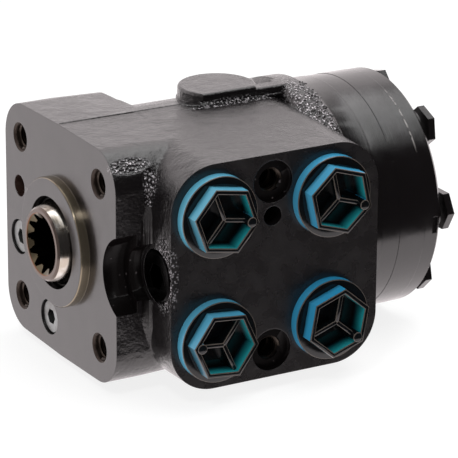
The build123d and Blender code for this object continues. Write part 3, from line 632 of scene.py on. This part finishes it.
@dataclass
class HousingCasting:
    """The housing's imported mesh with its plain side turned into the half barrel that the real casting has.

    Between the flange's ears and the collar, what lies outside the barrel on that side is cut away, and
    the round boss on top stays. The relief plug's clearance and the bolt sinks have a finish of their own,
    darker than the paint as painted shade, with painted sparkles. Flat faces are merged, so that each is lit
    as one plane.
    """

    radius: float = 42.0
    start_x: float = 32.8
    end_x: float = 84.2
    side_y: float = 0.02
    reach: float = 70.0
    steps: int = 72
    boss: Pair = (64.0, 4.0)
    boss_radius: float = 14.3
    flat_degrees: float = 0.1
    flat_weight: int = 80
    crease: float = 26.0
    relief_reach: float = 15.2
    relief_start_x: float = 0.02
    relief_end_x: float = 12.2
    sink_x: float = 51.0
    sink_z: float = 30.0
    sink_reach: float = 7.45
    sink_span_y: Pair = (-56.98, -36.0)

    def cutter(self) -> Object:
        """Closed block round the barrel, on the plain side only, with a hole for the boss."""
        side, far, r = self.side_y, self.reach, self.radius
        turns = [math.pi * i / self.steps for i in range(self.steps + 1)]
        outline = [(side, far), (far, far), (far, -far), (side, -far)]
        outline += [(max(side, r * math.sin(a)), -r * math.cos(a)) for a in turns]
        block = [[Vector((x, y, z)) for y, z in outline] for x in (self.start_x, self.end_x)]
        turns = [math.tau * i / self.steps for i in range(self.steps)]
        boss = [[Vector((*polar(self.boss_radius, a, self.boss), z)) for a in turns] for z in (r / 2, 2 * r)]
        return placed("barrel_cutter", less(loft("barrel_cutter", *block), loft("boss_keeper", *boss)))

    def in_painted_shade(self, middle: Vector) -> bool:
        """Whether a face at this place, in metres, lies in the relief plug's clearance or a bolt sink."""
        x, y, z = (value / MM for value in middle)
        if self.relief_start_x < x < self.relief_end_x and math.hypot(y - RELIEF_Y, z) < self.relief_reach:
            return True
        sunk = self.sink_span_y[0] < y < self.sink_span_y[1]
        return sunk and math.hypot(x - self.sink_x, abs(z) - self.sink_z) < self.sink_reach

    def build(self, node: Object, finishes: list[Material]) -> None:
        """Builds the casting in place of its plain node, in its paint and the darker finish of painted shade.
        """
        mesh = bpy.data.meshes.new("housing_casting")
        with shaping(mesh, node.data) as bm:
            bmesh.ops.remove_doubles(bm, verts=bm.verts, dist=WELD)
        trimmed = less(placed("housing_maker", mesh), self.cutter())
        with shaping(trimmed) as bm:
            bmesh.ops.remove_doubles(bm, verts=bm.verts, dist=WELD)
            bmesh.ops.dissolve_limit(bm, angle_limit=math.radians(self.flat_degrees), verts=bm.verts,
                                     edges=bm.edges)
        smooth_below(trimmed, self.crease)
        maker = placed("housing_maker", trimmed)
        flats = maker.modifiers.new("flats", "WEIGHTED_NORMAL")
        flats.mode, flats.weight, flats.keep_sharp = "FACE_AREA", self.flat_weight, True
        casting = baked(maker)
        casting.materials.clear()
        obj = mesh_object("housing_casting", casting, finishes)
        for polygon in casting.polygons:
            # Faces in the relief clearance and the bolt sinks take the finish of painted shade.
            polygon.material_index = 1 if self.in_painted_shade(polygon.center) else 0
        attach(obj, "housing")
        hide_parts("housing")


@dataclass
class PortPlug:
    """Shipping plug of one port: disc, hexagon cup with a three-armed rib and a stud, hollow shank.

    Lengths are in millimetres, the turn is in degrees. Depths run outwards from the port face.
    """

    port: str
    x: float
    z: float
    turn: float
    face_y: float = -57.0
    disc_radius: float = 14.25
    disc_thick: float = 3.5
    hex_flats: float = 21.4
    wall: float = 1.55
    rim: float = 8.3
    foot: float = 0.2
    floor: float = 1.8
    sunk: float = 0.3
    rib_top: float = 6.4
    rib_thick: float = 1.5
    stud_top: float = 8.6
    stud_radius: float = 1.8
    stud_gap: float = 1.4
    shank_radius: float = 10.1
    shank_wall: float = 2.2
    shank_length: float = 12.0
    shank_lead: float = 0.6
    edge: float = 0.28
    hidden_radius: float = 10.8
    near: float = 0.1
    crease: float = 30.0
    steps: int = 96

    def corner_reach(self, flats: float) -> float:
        """Distance of a hexagon's corners from its middle."""
        return flats / 2 / math.cos(math.radians(30))

    def hexagon(self, flats: float) -> list[Pair]:
        """Corners of a hexagon across the given flats, turned as the plug is."""
        return [polar(self.corner_reach(flats), math.radians(self.turn + 60 * i)) for i in range(6)]

    def ring(self, bm: BMesh, outline: list[Pair], depth: float) -> list[Vert]:
        """Adds the points of an outline round the plug's axis at one depth."""
        return [bm.verts.new(Vector((self.x + u, self.face_y - depth, self.z + v)) * MM) for u, v in outline]

    def soften(self, bm: BMesh, edges: list[Edge]) -> None:
        """Rounds some edges."""
        bmesh.ops.bevel(bm, geom=edges, offset=self.edge * MM, segments=2, affect="EDGES", profile=0.5)

    def prism(self, bm: BMesh, outline: list[Pair], high: float) -> None:
        """Adds a closed prism that stands in the cup's floor, with its front edges rounded."""
        back, front = (self.ring(bm, outline, depth) for depth in (self.floor - self.sunk, high))
        self.soften(bm, list(solid(bm, back, front).edges))

    def cup(self, bm: BMesh) -> None:
        """Adds the hexagon cup: outer wall, rim, inner wall and floor."""
        outer, inner = self.hex_flats, self.hex_flats - 2 * self.wall
        levels = [(outer, self.foot), (outer, self.rim), (inner, self.rim), (inner, self.floor)]
        loops = [self.ring(bm, self.hexagon(flats), depth) for flats, depth in levels]
        bands = [band(bm, near, far) for near, far in zip(loops, loops[1:])]
        bm.faces.new(loops[0])
        bm.faces.new(list(reversed(loops[3])))
        self.soften(bm, list({edge for face in bands[1] for edge in face.edges if self.along_rim(edge)}))

    def along_rim(self, edge: Edge) -> bool:
        """Whether an edge runs round the rim instead of across it."""
        radii = [math.hypot(v.co.x - self.x * MM, v.co.z - self.z * MM) for v in edge.verts]
        return abs(radii[0] - radii[1]) < self.near * MM

    def revolved(self, bm: BMesh, profile: list[Pair]) -> None:
        """Adds a closed ring from (radius, depth) points that run round its section."""
        turns = [math.tau * i / self.steps for i in range(self.steps)]
        rows = [[self.ring(bm, [polar(r, a)], depth)[0] for r, depth in profile] for a in turns]
        for row, following in zip(rows, rows[1:] + rows[:1]):
            for k in range(len(profile)):
                j = (k + 1) % len(profile)
                bm.faces.new((row[k], row[j], following[j], following[k]))

    def arm(self, index: int) -> list[Pair]:
        """Outline of one rib arm, which ends inside the cup's wall."""
        reach, side = self.corner_reach(self.hex_flats) - self.wall, self.rib_thick / 2
        a = math.radians(self.turn + 120 * index)
        corners = [(0, -side), (reach, -side), (reach, side), (0, side)]
        return [(u * math.cos(a) - v * math.sin(a), u * math.sin(a) + v * math.cos(a)) for u, v in corners]

    def stud(self) -> list[Pair]:
        """Outline of the stud, which stands in the corner that the turn is measured to."""
        reach = self.corner_reach(self.hex_flats) - self.wall - self.stud_gap
        middle = polar(reach, math.radians(self.turn))
        return [polar(self.stud_radius, math.radians(15 * i), middle) for i in range(24)]

    def sort_faces(self, mesh: Mesh) -> None:
        """Gives each face the finish of its kind. What stands inside the cup counts as flat."""
        kinds = list(PlugFace)
        ribs = (self.hex_flats / 2 - self.wall) * MM - self.near * MM
        for polygon in mesh.polygons:
            out = Vector((polygon.center.x - self.x * MM, 0, polygon.center.z - self.z * MM))
            facing = abs(polygon.normal.y)
            if facing > 0.93:
                kind = PlugFace.FLAT
            elif facing > 0.2:
                kind = PlugFace.EDGE
            elif out.length < ribs:
                kind = PlugFace.FLAT
            else:
                kind = PlugFace.OUTER_WALL if polygon.normal.dot(out) > 0 else PlugFace.INNER_WALL
            polygon.material_index = kinds.index(kind)

    def build(self, finishes: list[Material]) -> None:
        """Builds the plug in place of its plain node, with one finish for each kind of face."""
        mesh = bpy.data.meshes.new("plug")
        hidden, disc, thick, e = self.hidden_radius, self.disc_radius, self.disc_thick, self.edge
        shank, length, lead = self.shank_radius, self.shank_length, self.shank_lead
        bore = shank - self.shank_wall
        with shaping(mesh) as bm:
            self.revolved(bm, [(hidden, 0.0), (disc, 0.0), (disc, thick - e), (disc - 0.3 * e, thick - 0.3 * e),
                               (disc - e, thick), (hidden, thick)])
            self.revolved(bm, [(bore, -length), (shank - lead, -length), (shank, lead - length),
                               (shank, self.sunk), (bore, self.sunk)])
            self.cup(bm)
            for index in range(3):
                self.prism(bm, self.arm(index), self.rib_top)
            self.prism(bm, self.stud(), self.stud_top)
            bmesh.ops.recalc_face_normals(bm, faces=bm.faces)
        smooth_below(mesh, self.crease)
        obj = mesh_object(f"shipping_plug_{self.port}", mesh, finishes)
        self.sort_faces(mesh)
        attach(obj, "housing")
        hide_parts(f"port_plug_{self.port}")


@dataclass
class ValveSprings:
    """The springs inside, each a copy of its node: the coils whole, the centring leaves in halves.

    Each coil is its node's name, its valve's joint, the place where it stands and the share of its length
    that is left when the valve is fully open.
    """

    coils: tuple[tuple[str, str, float, float], ...] = (
        ("relief_spring", "relief_poppet_lift", 22.1, 0.84),
        ("shock_spring_left", "shock_ball_left_lift", 9.1, 0.81),
        ("shock_spring_right", "shock_ball_right_lift", 9.1, 0.81))
    leaf_x: float = 26.0
    bend_from: float = 12.0
    bend_to: float = 18.0

    def copy(self, node: Object, name: str) -> Object:
        """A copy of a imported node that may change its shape."""
        mesh = node.data.copy()
        finish = mesh.materials[0]
        mesh.materials.clear()
        return mesh_object(name, mesh, [finish])

    def build(self, nodes: dict[str, Object]) -> None:
        """Builds the springs in place of their nodes. The leaves are halved."""
        for name, joint, foot, keep in self.coils:
            coil = self.copy(nodes[name], f"{name}_coil")
            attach(coil, "housing")
            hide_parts(name)
            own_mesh(coil)
        for side, word in ((1, "far"), (-1, "near")):
            leaves = self.copy(nodes["centring_springs"], f"centring_leaves_{word}")
            with shaping(leaves.data) as bm:
                bmesh.ops.remove_doubles(bm, verts=bm.verts, dist=WELD)
                cut = bmesh.ops.bisect_plane(bm, geom=bm.verts[:] + bm.edges[:] + bm.faces[:],
                                             plane_co=(0, 0, 0), plane_no=(0, side, 0), clear_inner=True)
                rims = [edge for edge in cut["geom_cut"] if isinstance(edge, Edge)]
                bmesh.ops.holes_fill(bm, edges=rims)
            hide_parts("centring_springs")
            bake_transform(leaves)


class NodeRecipe(Nodes):
    """A Geometry Nodes tree with named inputs, and the values that one piece gives them."""

    def __init__(self, name: str, sizes: dict[str, float]) -> None:
        super().__init__(bpy.data.node_groups.new(name, "GeometryNodeTree"))
        self.sizes = sizes
        inputs = {"Geometry": "Geometry", **dict.fromkeys(sizes, "Float"), "Finish": "Material"}
        for label, kind in inputs.items():
            self.tree.interface.new_socket(label, in_out="INPUT", socket_type=f"NodeSocket{kind}")
        self.tree.interface.new_socket("Geometry", in_out="OUTPUT", socket_type="NodeSocketGeometry")
        self.entry = self.tree.nodes.new("NodeGroupInput")

    def make(self, kind: str, inputs: dict[Any, Any] | None = None, **settings: Any) -> Socket:
        """Adds a geometry node and gives its first output."""
        return self.add(f"GeometryNode{kind}", inputs, **settings).outputs[0]

    def moved(self, solid: Socket, **inputs: Any) -> Socket:
        """Shifts or turns a shape."""
        return self.make("Transform", {0: solid, **inputs})

    def stand(self, points: Socket, shape: Socket, **inputs: Any) -> Socket:
        """Stands a shape on each point."""
        return self.make("InstanceOnPoints", {"Points": points, "Instance": shape, **inputs})

    def sweep(self, line: Socket, section: Socket) -> Socket:
        """Draws a section along a line, with closed ends."""
        return self.make("CurveToMesh", {"Curve": line, "Profile Curve": section, "Fill Caps": True})

    def close(self, result: Socket) -> "NodeRecipe":
        """Ends the tree in real geometry with its finish."""
        real = self.make("RealizeInstances", {0: result})
        dressed = self.make("SetMaterial", {0: real, "Material": self.entry.outputs["Finish"]})
        self.add("NodeGroupOutput", {0: dressed})
        return self

    def bake(self, name: str, host: Mesh, finish: Material, crease: float) -> Object:
        """Runs the recipe on a host mesh, and keeps the result as a plain mesh with this finish and crease."""
        maker = placed(f"{name}_maker", host)
        modifier = maker.modifiers.new("recipe", "NODES")
        modifier.node_group = self.tree
        values = {**self.sizes, "Finish": finish}
        for item in self.tree.interface.items_tree:
            if item.in_out == "INPUT" and item.name in values:
                modifier[item.identifier] = values[item.name]
        mesh = baked(maker)
        smooth_below(mesh, crease)
        mesh.materials.clear()
        return mesh_object(name, mesh, [finish])


def host_mesh(name: str, points: list[Point], edges: Sequence[tuple[int, ...]] = (),
              faces: Sequence[tuple[int, ...]] = ()) -> Mesh:
    """Makes a mesh of loose points, in millimetres, or of the edges or faces between them."""
    mesh = bpy.data.meshes.new(name)
    mesh.from_pydata([tuple(Vector(point) * MM) for point in points], edges, faces)
    return mesh


@dataclass
class CoverScrews:
    """Seven hexagon screws with washers on a circle, each left at its own turn by the wrench."""

    seat_x: float = 128.2
    circle_radius: float = 34.0
    first_angle: float = 180.0
    turns: tuple[float, ...] = (0, 17, -8, 25, 10, -14, 22)
    flats: float = 13.0
    head: float = 5.2
    washer_radius: float = 6.7
    washer_thick: float = 1.0
    shank_radius: float = 3.9
    shank_length: float = 42.0
    crease: float = 25.0

    def host(self) -> Mesh:
        """One point for each screw, with its turn."""
        step, start = math.tau / len(self.turns), math.radians(self.first_angle)
        seats = [polar(self.circle_radius, start + step * i) for i in range(len(self.turns))]
        mesh = host_mesh("screw_seats", [(self.seat_x, y, z) for y, z in seats])
        turn = mesh.attributes.new("turn", "FLOAT", "POINT")
        turn.data.foreach_set("value", [math.radians(t + 30) for t in self.turns])
        return mesh

    def recipe(self) -> NodeRecipe:
        """Hexagon cut by a cone, over a washer and a shank, stood on each point."""
        made = NodeRecipe("hexagon_screws", {
            "Corner Radius": self.flats / math.sqrt(3) * MM, "Head": self.head * MM,
            "Washer Radius": self.washer_radius * MM, "Washer": self.washer_thick * MM,
            "Shank Radius": self.shank_radius * MM, "Shank": self.shank_length * MM})
        size = made.entry.outputs

        head, washer, corner = size["Head"], size["Washer"], size["Corner Radius"]

        def cylinder(sides: int, word: str, height: Socket) -> Socket:
            return made.make("MeshCylinder", {"Vertices": sides, "Radius": size[f"{word} Radius"],
                                              "Depth": height})

        def lifted(solid: Socket, height: Socket, share: float, more: Socket | float = 0.0) -> Socket:
            rise = made.calc("ADD", made.calc("MULTIPLY", height, share), more)
            return made.moved(solid, Translation=made.combine(z=rise))

        cone = made.make("MeshCone", {
            "Vertices": 48, "Radius Top": made.calc("MULTIPLY", corner, 0.80),
            "Radius Bottom": made.calc("MULTIPLY", corner, 1.90), "Depth": head})
        top = made.make("MeshBoolean", {1: [cylinder(6, "Corner", head), cone]}, operation="INTERSECT")
        screw = made.make("JoinGeometry", {0: [
            lifted(top, head, 0.5, washer), lifted(cylinder(48, "Washer", washer), washer, 0.5),
            lifted(cylinder(32, "Shank", size["Shank"]), size["Shank"], -0.495)]})
        laid = made.moved(screw, Rotation=(0, math.pi / 2, 0))
        turn = made.make("InputNamedAttribute", {"Name": "turn"}, data_type="FLOAT")
        return made.close(made.stand(size["Geometry"], laid, Rotation=made.combine(turn)))

    def build(self, finish: Material) -> None:
        """Builds all seven in place of their plain nodes."""
        obj = self.recipe().bake("cover_screws", self.host(), finish, self.crease)
        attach(obj, "housing")
        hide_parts("cap_screws", "pin_screw", "screw_washers")


@dataclass
class TappedHoles:
    """Thread ridges in a group of parallel M10 holes."""

    name: str
    mouths: list[Point]
    lie: Point
    depth: float
    wall_radius: float = 4.25
    pitch: float = 1.5
    ridge: float = 0.62
    crease: float = 40.0

    def recipe(self) -> NodeRecipe:
        """Spiral with a four-sided section, laid down each hole."""
        made = NodeRecipe(self.name, {"Wall Radius": self.wall_radius * MM, "Turns": self.depth / self.pitch,
                                      "Depth": self.depth * MM, "Ridge": self.ridge * MM})
        size = made.entry.outputs
        spiral = made.make("CurveSpiral", {
            "Resolution": 32, "Rotations": size["Turns"], "Start Radius": size["Wall Radius"],
            "End Radius": size["Wall Radius"], "Height": size["Depth"]})
        section = made.make("CurvePrimitiveCircle", {"Resolution": 4, "Radius": size["Ridge"]})
        laid = made.moved(made.sweep(spiral, section), Rotation=self.lie)
        return made.close(made.stand(size["Geometry"], laid))

    def build(self, finish: Material) -> None:
        """Builds the threads of the group."""
        obj = self.recipe().bake(self.name, host_mesh(self.name, self.mouths), finish, self.crease)
        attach(obj, "housing")


@dataclass
class CastBead:
    """Rough raised line that the mould leaves along a joint, painted over."""

    name: str
    path: list[Point]
    seed: float
    thick: float = 0.26
    ragged: float = 0.35
    spacing: float = 0.35
    crease: float = 60.0

    def recipe(self) -> NodeRecipe:
        """Line cut into short steps, thinned and thickened at random, then roughened."""
        made = NodeRecipe(self.name, {"Thickness": self.thick * MM, "Ragged": self.ragged * MM,
                                      "Step": self.spacing * MM, "Seed": self.seed})
        size = made.entry.outputs
        place = made.make("InputPosition")

        def cloud(scale: float, detail: float) -> Node:
            return made.add("ShaderNodeTexNoise", {"Vector": place, "W": size["Seed"], "Scale": scale,
                                                   "Detail": detail}, noise_dimensions="4D")

        line = made.make("MeshToCurve", {0: size["Geometry"]})
        fine = made.make("ResampleCurve", {0: line, "Length": size["Step"]}, mode="LENGTH")
        girth = made.span(cloud(420.0, 3.0).outputs[0], 0.3, 0.7, 0.35, 1.5)
        varied = made.make("SetCurveRadius", {0: fine, "Radius": girth})
        section = made.make("CurvePrimitiveCircle", {"Resolution": 8, "Radius": size["Thickness"]})
        centred = made.vector("SUBTRACT", cloud(1100.0, 2.0).outputs["Color"], (0.5, 0.5, 0.5))
        push = made.add("ShaderNodeVectorMath", {0: centred, "Scale": size["Ragged"]}, operation="SCALE")
        torn = made.make("SetPosition", {0: made.sweep(varied, section), "Offset": push.outputs[0]})
        return made.close(torn)

    def build(self, finish: Material) -> None:
        """Builds the bead."""
        line = host_mesh(self.name, self.path, [(i, i + 1) for i in range(len(self.path) - 1)])
        obj = self.recipe().bake(self.name, line, finish, self.crease)
        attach(obj, "housing")


@dataclass
class FettledPatch:
    """Patch of the casting that was knocked or ground rough before it was painted: a crust of small lumps.

    It lies on a round surface about a line along X. Angles are in degrees from +Z towards -Y.
    """

    name: str
    radius: float
    span_x: Pair
    span_angle: Pair
    steps: int
    seed: int
    centre: Pair = (0.0, 0.0)
    density: float = 0.75
    lump: float = 0.62
    flatness: float = 0.55
    crease: float = 60.0

    def host(self) -> Mesh:
        """Strip of faces between two rows of points."""
        (start, end), (y, z), r, half = self.span_angle, self.centre, self.radius, self.steps + 1
        turns = [math.radians(start + (end - start) * i / self.steps) for i in range(half)]
        rows = [(x, y - r * math.sin(a), z + r * math.cos(a)) for x in self.span_x for a in turns]
        faces = [(i, i + 1, half + i + 1, half + i) for i in range(self.steps)]
        return host_mesh(self.name, rows, faces=faces)

    def recipe(self) -> NodeRecipe:
        """Flattened balls of random size, strewn over the patch and sunk half into it."""
        made = NodeRecipe(self.name, {"Density": self.density / MM ** 2, "Lump": self.lump * MM,
                                      "Flatness": self.flatness})
        size = made.entry.outputs
        strewn = made.add("GeometryNodeDistributePointsOnFaces", {
            0: size["Geometry"], "Density": size["Density"], "Seed": self.seed})
        ball = made.make("MeshIcoSphere", {"Radius": size["Lump"], "Subdivisions": 2})
        spread = made.add("FunctionNodeRandomValue", {
            "Min": (0.35, 0.35, 0.2), "Max": (1.3, 1.3, 1.0), "Seed": self.seed}, data_type="FLOAT_VECTOR")
        scale = made.vector("MULTIPLY", spread.outputs[0], made.combine(1.0, 1.0, size["Flatness"]))
        return made.close(made.stand(strewn.outputs[0], ball, Rotation=strewn.outputs["Rotation"], Scale=scale))

    def build(self, finish: Material) -> None:
        """Builds the crust."""
        obj = self.recipe().bake(self.name, self.host(), finish, self.crease)
        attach(obj, "housing")


@dataclass
class Studio:
    """White sweep in a dark room: an overhead softbox, a small key lamp and the camera."""

    azimuth: float = -29.84
    elevation: float = 19.42
    roll: float = 0.32
    distance: float = 1144.28
    target: Point = (60.0, 0.0, 0.0)
    slip_right: float = 5.97
    slip_up: float = -5.52
    focal_pixels: float = 3260.86
    frame_pixels: float = 458.0
    sensor: float = 36.0
    far_end: float = 20.0
    lamp_aim: Point = (0.06, -0.01, 0.0)
    fill: float = 0.4
    lamp_tint: str = "fff7f8"
    floor_size: float = 8.0
    floor_gap: float = 0.0002
    floor_grey: float = 0.3
    floor_glow: float = 0.82

    def place_camera(self) -> None:
        """Aims the camera along the viewing direction."""
        a, e, r = (math.radians(v) for v in (self.azimuth, self.elevation, self.roll))
        back = Vector((math.sin(a) * math.cos(e), -math.cos(a) * math.cos(e), math.sin(e)))
        right = (-back).cross(Vector((0, 0, 1))).normalized()
        up = right.cross(-back)
        turned_right = right * math.cos(r) + up * math.sin(r)
        turned_up = up * math.cos(r) - right * math.sin(r)
        eye = Vector(self.target) + back * self.distance
        eye = eye + turned_right * self.slip_right + turned_up * self.slip_up
        data = bpy.data.cameras.new("camera")
        data.sensor_width = self.sensor
        data.lens = self.sensor * self.focal_pixels / self.frame_pixels
        data.clip_end = self.far_end
        camera = bpy.context.scene.camera = placed("camera", data)
        turn = Matrix((turned_right, turned_up, back)).transposed()
        camera.matrix_world = Matrix.Translation(eye * MM) @ turn.to_4x4()

    def lamp(self, name: str, way: Point, away: float, sides: Pair, brightness: float) -> None:
        """Adds a rectangular lamp that lies this way from the object and faces it.

        Its distance and its sides are in metres. Its brightness is that of its face: a white wall has 1.
        """
        data = bpy.data.lights.new(name, "AREA")
        data.shape = "RECTANGLE"
        data.size, data.size_y = sides
        data.energy = brightness * math.pi * sides[0] * sides[1]
        lamp = placed(name, data)
        aim = Vector(way).normalized()
        lamp.location = Vector(self.lamp_aim) + aim * away
        lamp.rotation_euler = aim.to_track_quat("Z", "Y").to_euler()

    def surroundings(self) -> None:
        """White walls behind and a white table below, with the dark room in front."""
        world = bpy.data.worlds.new("studio")
        bpy.context.scene.world = world
        world.use_nodes = True
        made = Nodes(world.node_tree)
        made.tree.nodes.clear()
        way = made.add("ShaderNodeTexCoord").outputs["Generated"]
        x, y, z = made.add("ShaderNodeSeparateXYZ", {0: way}).outputs
        soft = {"interpolation_type": "SMOOTHSTEP"}
        wall_behind = made.all_of(made.span(y, -0.05, 0.3, **soft), made.span(x, -0.5, 0.6, 1.4, 1.35),
                                  made.span(z, 0.60, 0.78, 1.0, 0.35))
        table = made.span(z, -0.47, -0.51, 0.0, 1.35)
        wall_left = made.span(x, -0.45, -0.75, 0.0, 0.4, **soft)
        seen = made.any_of(wall_behind, table, wall_left, 0.02)
        path = made.add("ShaderNodeLightPath").outputs
        glossy = path["Is Glossy Ray"]
        plain = made.any_of(path["Is Camera Ray"], path["Is Transmission Ray"])
        strength = made.blend(plain, made.blend(glossy, self.fill, seen), 1.0)
        tint = made.mix(glossy, "ffffff", self.lamp_tint)
        sky = made.add("ShaderNodeBackground", {"Color": tint, "Strength": strength})
        made.add("ShaderNodeOutputWorld", {"Surface": sky.outputs[0]})

    def lay_floor(self, floor_z: float) -> None:
        """Lays the white table, which keeps the object's shadow and reflects nothing."""
        bpy.ops.mesh.primitive_plane_add(size=self.floor_size, location=(0, 0, floor_z - self.floor_gap))
        floor = bpy.context.object
        floor.name = "floor"
        grey = (self.floor_grey, self.floor_grey, self.floor_grey, 1)
        floor.data.materials.append(Finish("white_table").close(
            Base_Color=grey, Roughness=0.9, Specular_IOR_Level=0.0, Emission_Color=(1, 1, 1, 1),
            Emission_Strength=self.floor_glow))
        floor.visible_glossy = False
        floor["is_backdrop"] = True

    def build(self, floor_z: float) -> None:
        """Sets up the room. The floor lies under the object's lowest point."""
        bpy.context.scene.view_settings.view_transform = "Standard"
        self.surroundings()
        self.lay_floor(floor_z)
        self.place_camera()
        self.lamp("overhead_softbox", (0.26, 0.0, 0.966), 1.15, (1.5, 0.84), 2.2)
        self.lamp("key_lamp", (-0.45, -0.45, 0.77), 1.1, (0.16, 0.16), 22.0)


def dress_nodes(nodes: dict[str, Object], record: dict[str, Any],
                finishes: dict[str, Material]) -> None:
    """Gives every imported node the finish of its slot, or its own where a single node differs."""
    for entry in record["subparts"]:
        name = entry["node"]
        finish = finishes.get(name, finishes[entry["material_slot"]])
        mesh = nodes[name].data
        mesh.materials.clear()
        mesh.materials.append(finish)
        LOG.info("dressed %s in %s", name, finish.name)


def main() -> None:
    """Builds every piece in order."""
    logging.basicConfig(level=logging.INFO, format="%(message)s")
    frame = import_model()
    cad_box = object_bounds()
    plastic = [TintedPolyethylene().build(face) for face in PlugFace]
    iron = PaintedCastIron().build()
    steel = PaintedTurnedSteel().build()
    cut_iron = BareMetal("tapped_iron", "4f4842", "241e19", 0.35, 0.8).build()
    dress_nodes(frame["nodes"], frame["record"], {
        "cast_black": iron,
        "steel_black": steel,
        "machined_steel": BareMetal("ground_steel", "c9c5be", "8f8474", 0.2, 0.5).build(),
        "spool": GroundNose().build(),
        "plug_steel": BareMetal("zinc_plated_steel", "929696", "706e6c", 0.38, 0.6).build(),
        "relief_plug": BareMetal("blackened_steel", "100f10", "080707", 0.16, 0.5).build(),
        "spring_steel": BareMetal("blued_spring_steel", "55565c", "3a3a3e", 0.3, 0.4).build(),
        "seal_rubber": NitrileRubber().build(),
        "plug_plastic": plastic[0],
    })
    # The second finish paints shade into the relief clearance and the bolt sinks.
    HousingCasting().build(frame["nodes"]["housing"], [iron, IronInPaintedShade().build()])
    for port, x, z, turn in (("pressure", 29.0, 22.0, -10.0), ("left", 73.0, 22.0, -17.4),
                             ("tank", 29.0, -22.0, 174.5), ("right", 73.0, -22.0, -40.5)):
        PortPlug(port, x, z, turn).build(plastic)
    ValveSprings().build(frame["nodes"])
    CoverScrews().build(steel)
    columns = [(1.2, y, z) for y in (-COLUMN_BOLT, COLUMN_BOLT) for z in (-COLUMN_BOLT, COLUMN_BOLT)]
    blocks = [(51.0, -54.6, z) for z in (-30.0, 30.0)]
    for threads in (TappedHoles("column_threads", columns, (0, math.pi / 2, 0), 18.0),
                    TappedHoles("block_threads", blocks, (-math.pi / 2, 0, 0), 15.0)):
        threads.build(cut_iron)
    top = [(0.6, 0, 41.95), (13.5, 0, 41.95), (32, 0, 41.9), (50.6, 0, 41.9)]
    bottom = [(0.6, 0, -41.95), (13.5, 0, -41.95), (32, 0, -41.9), (84, 0, -41.9)]
    boss = [(47, -1.5, 41.8), (52.0, -5.2, 41.75), (86.5, -5.2, 41.75)]
    for relief in (CastBead("parting_flash_top", top, 1.0), CastBead("parting_flash_bottom", bottom, 2.0),
                   CastBead("boss_foot", boss, 3.0, 0.5, 0.7),
                   FettledPatch("collar_crust", 44.75, (87.5, 94.0), (5.0, 47.0), 12, 4),
                   FettledPatch("flange_corner_crust", 13.5, (1.5, 12.5), (18.0, 50.0), 6, 5, (-28.0, 27.7),
                                0.8, 0.5, 0.4)):
        relief.build(iron)
    Studio().build(cad_box[0][2])


if __name__ == "__main__":
    main()
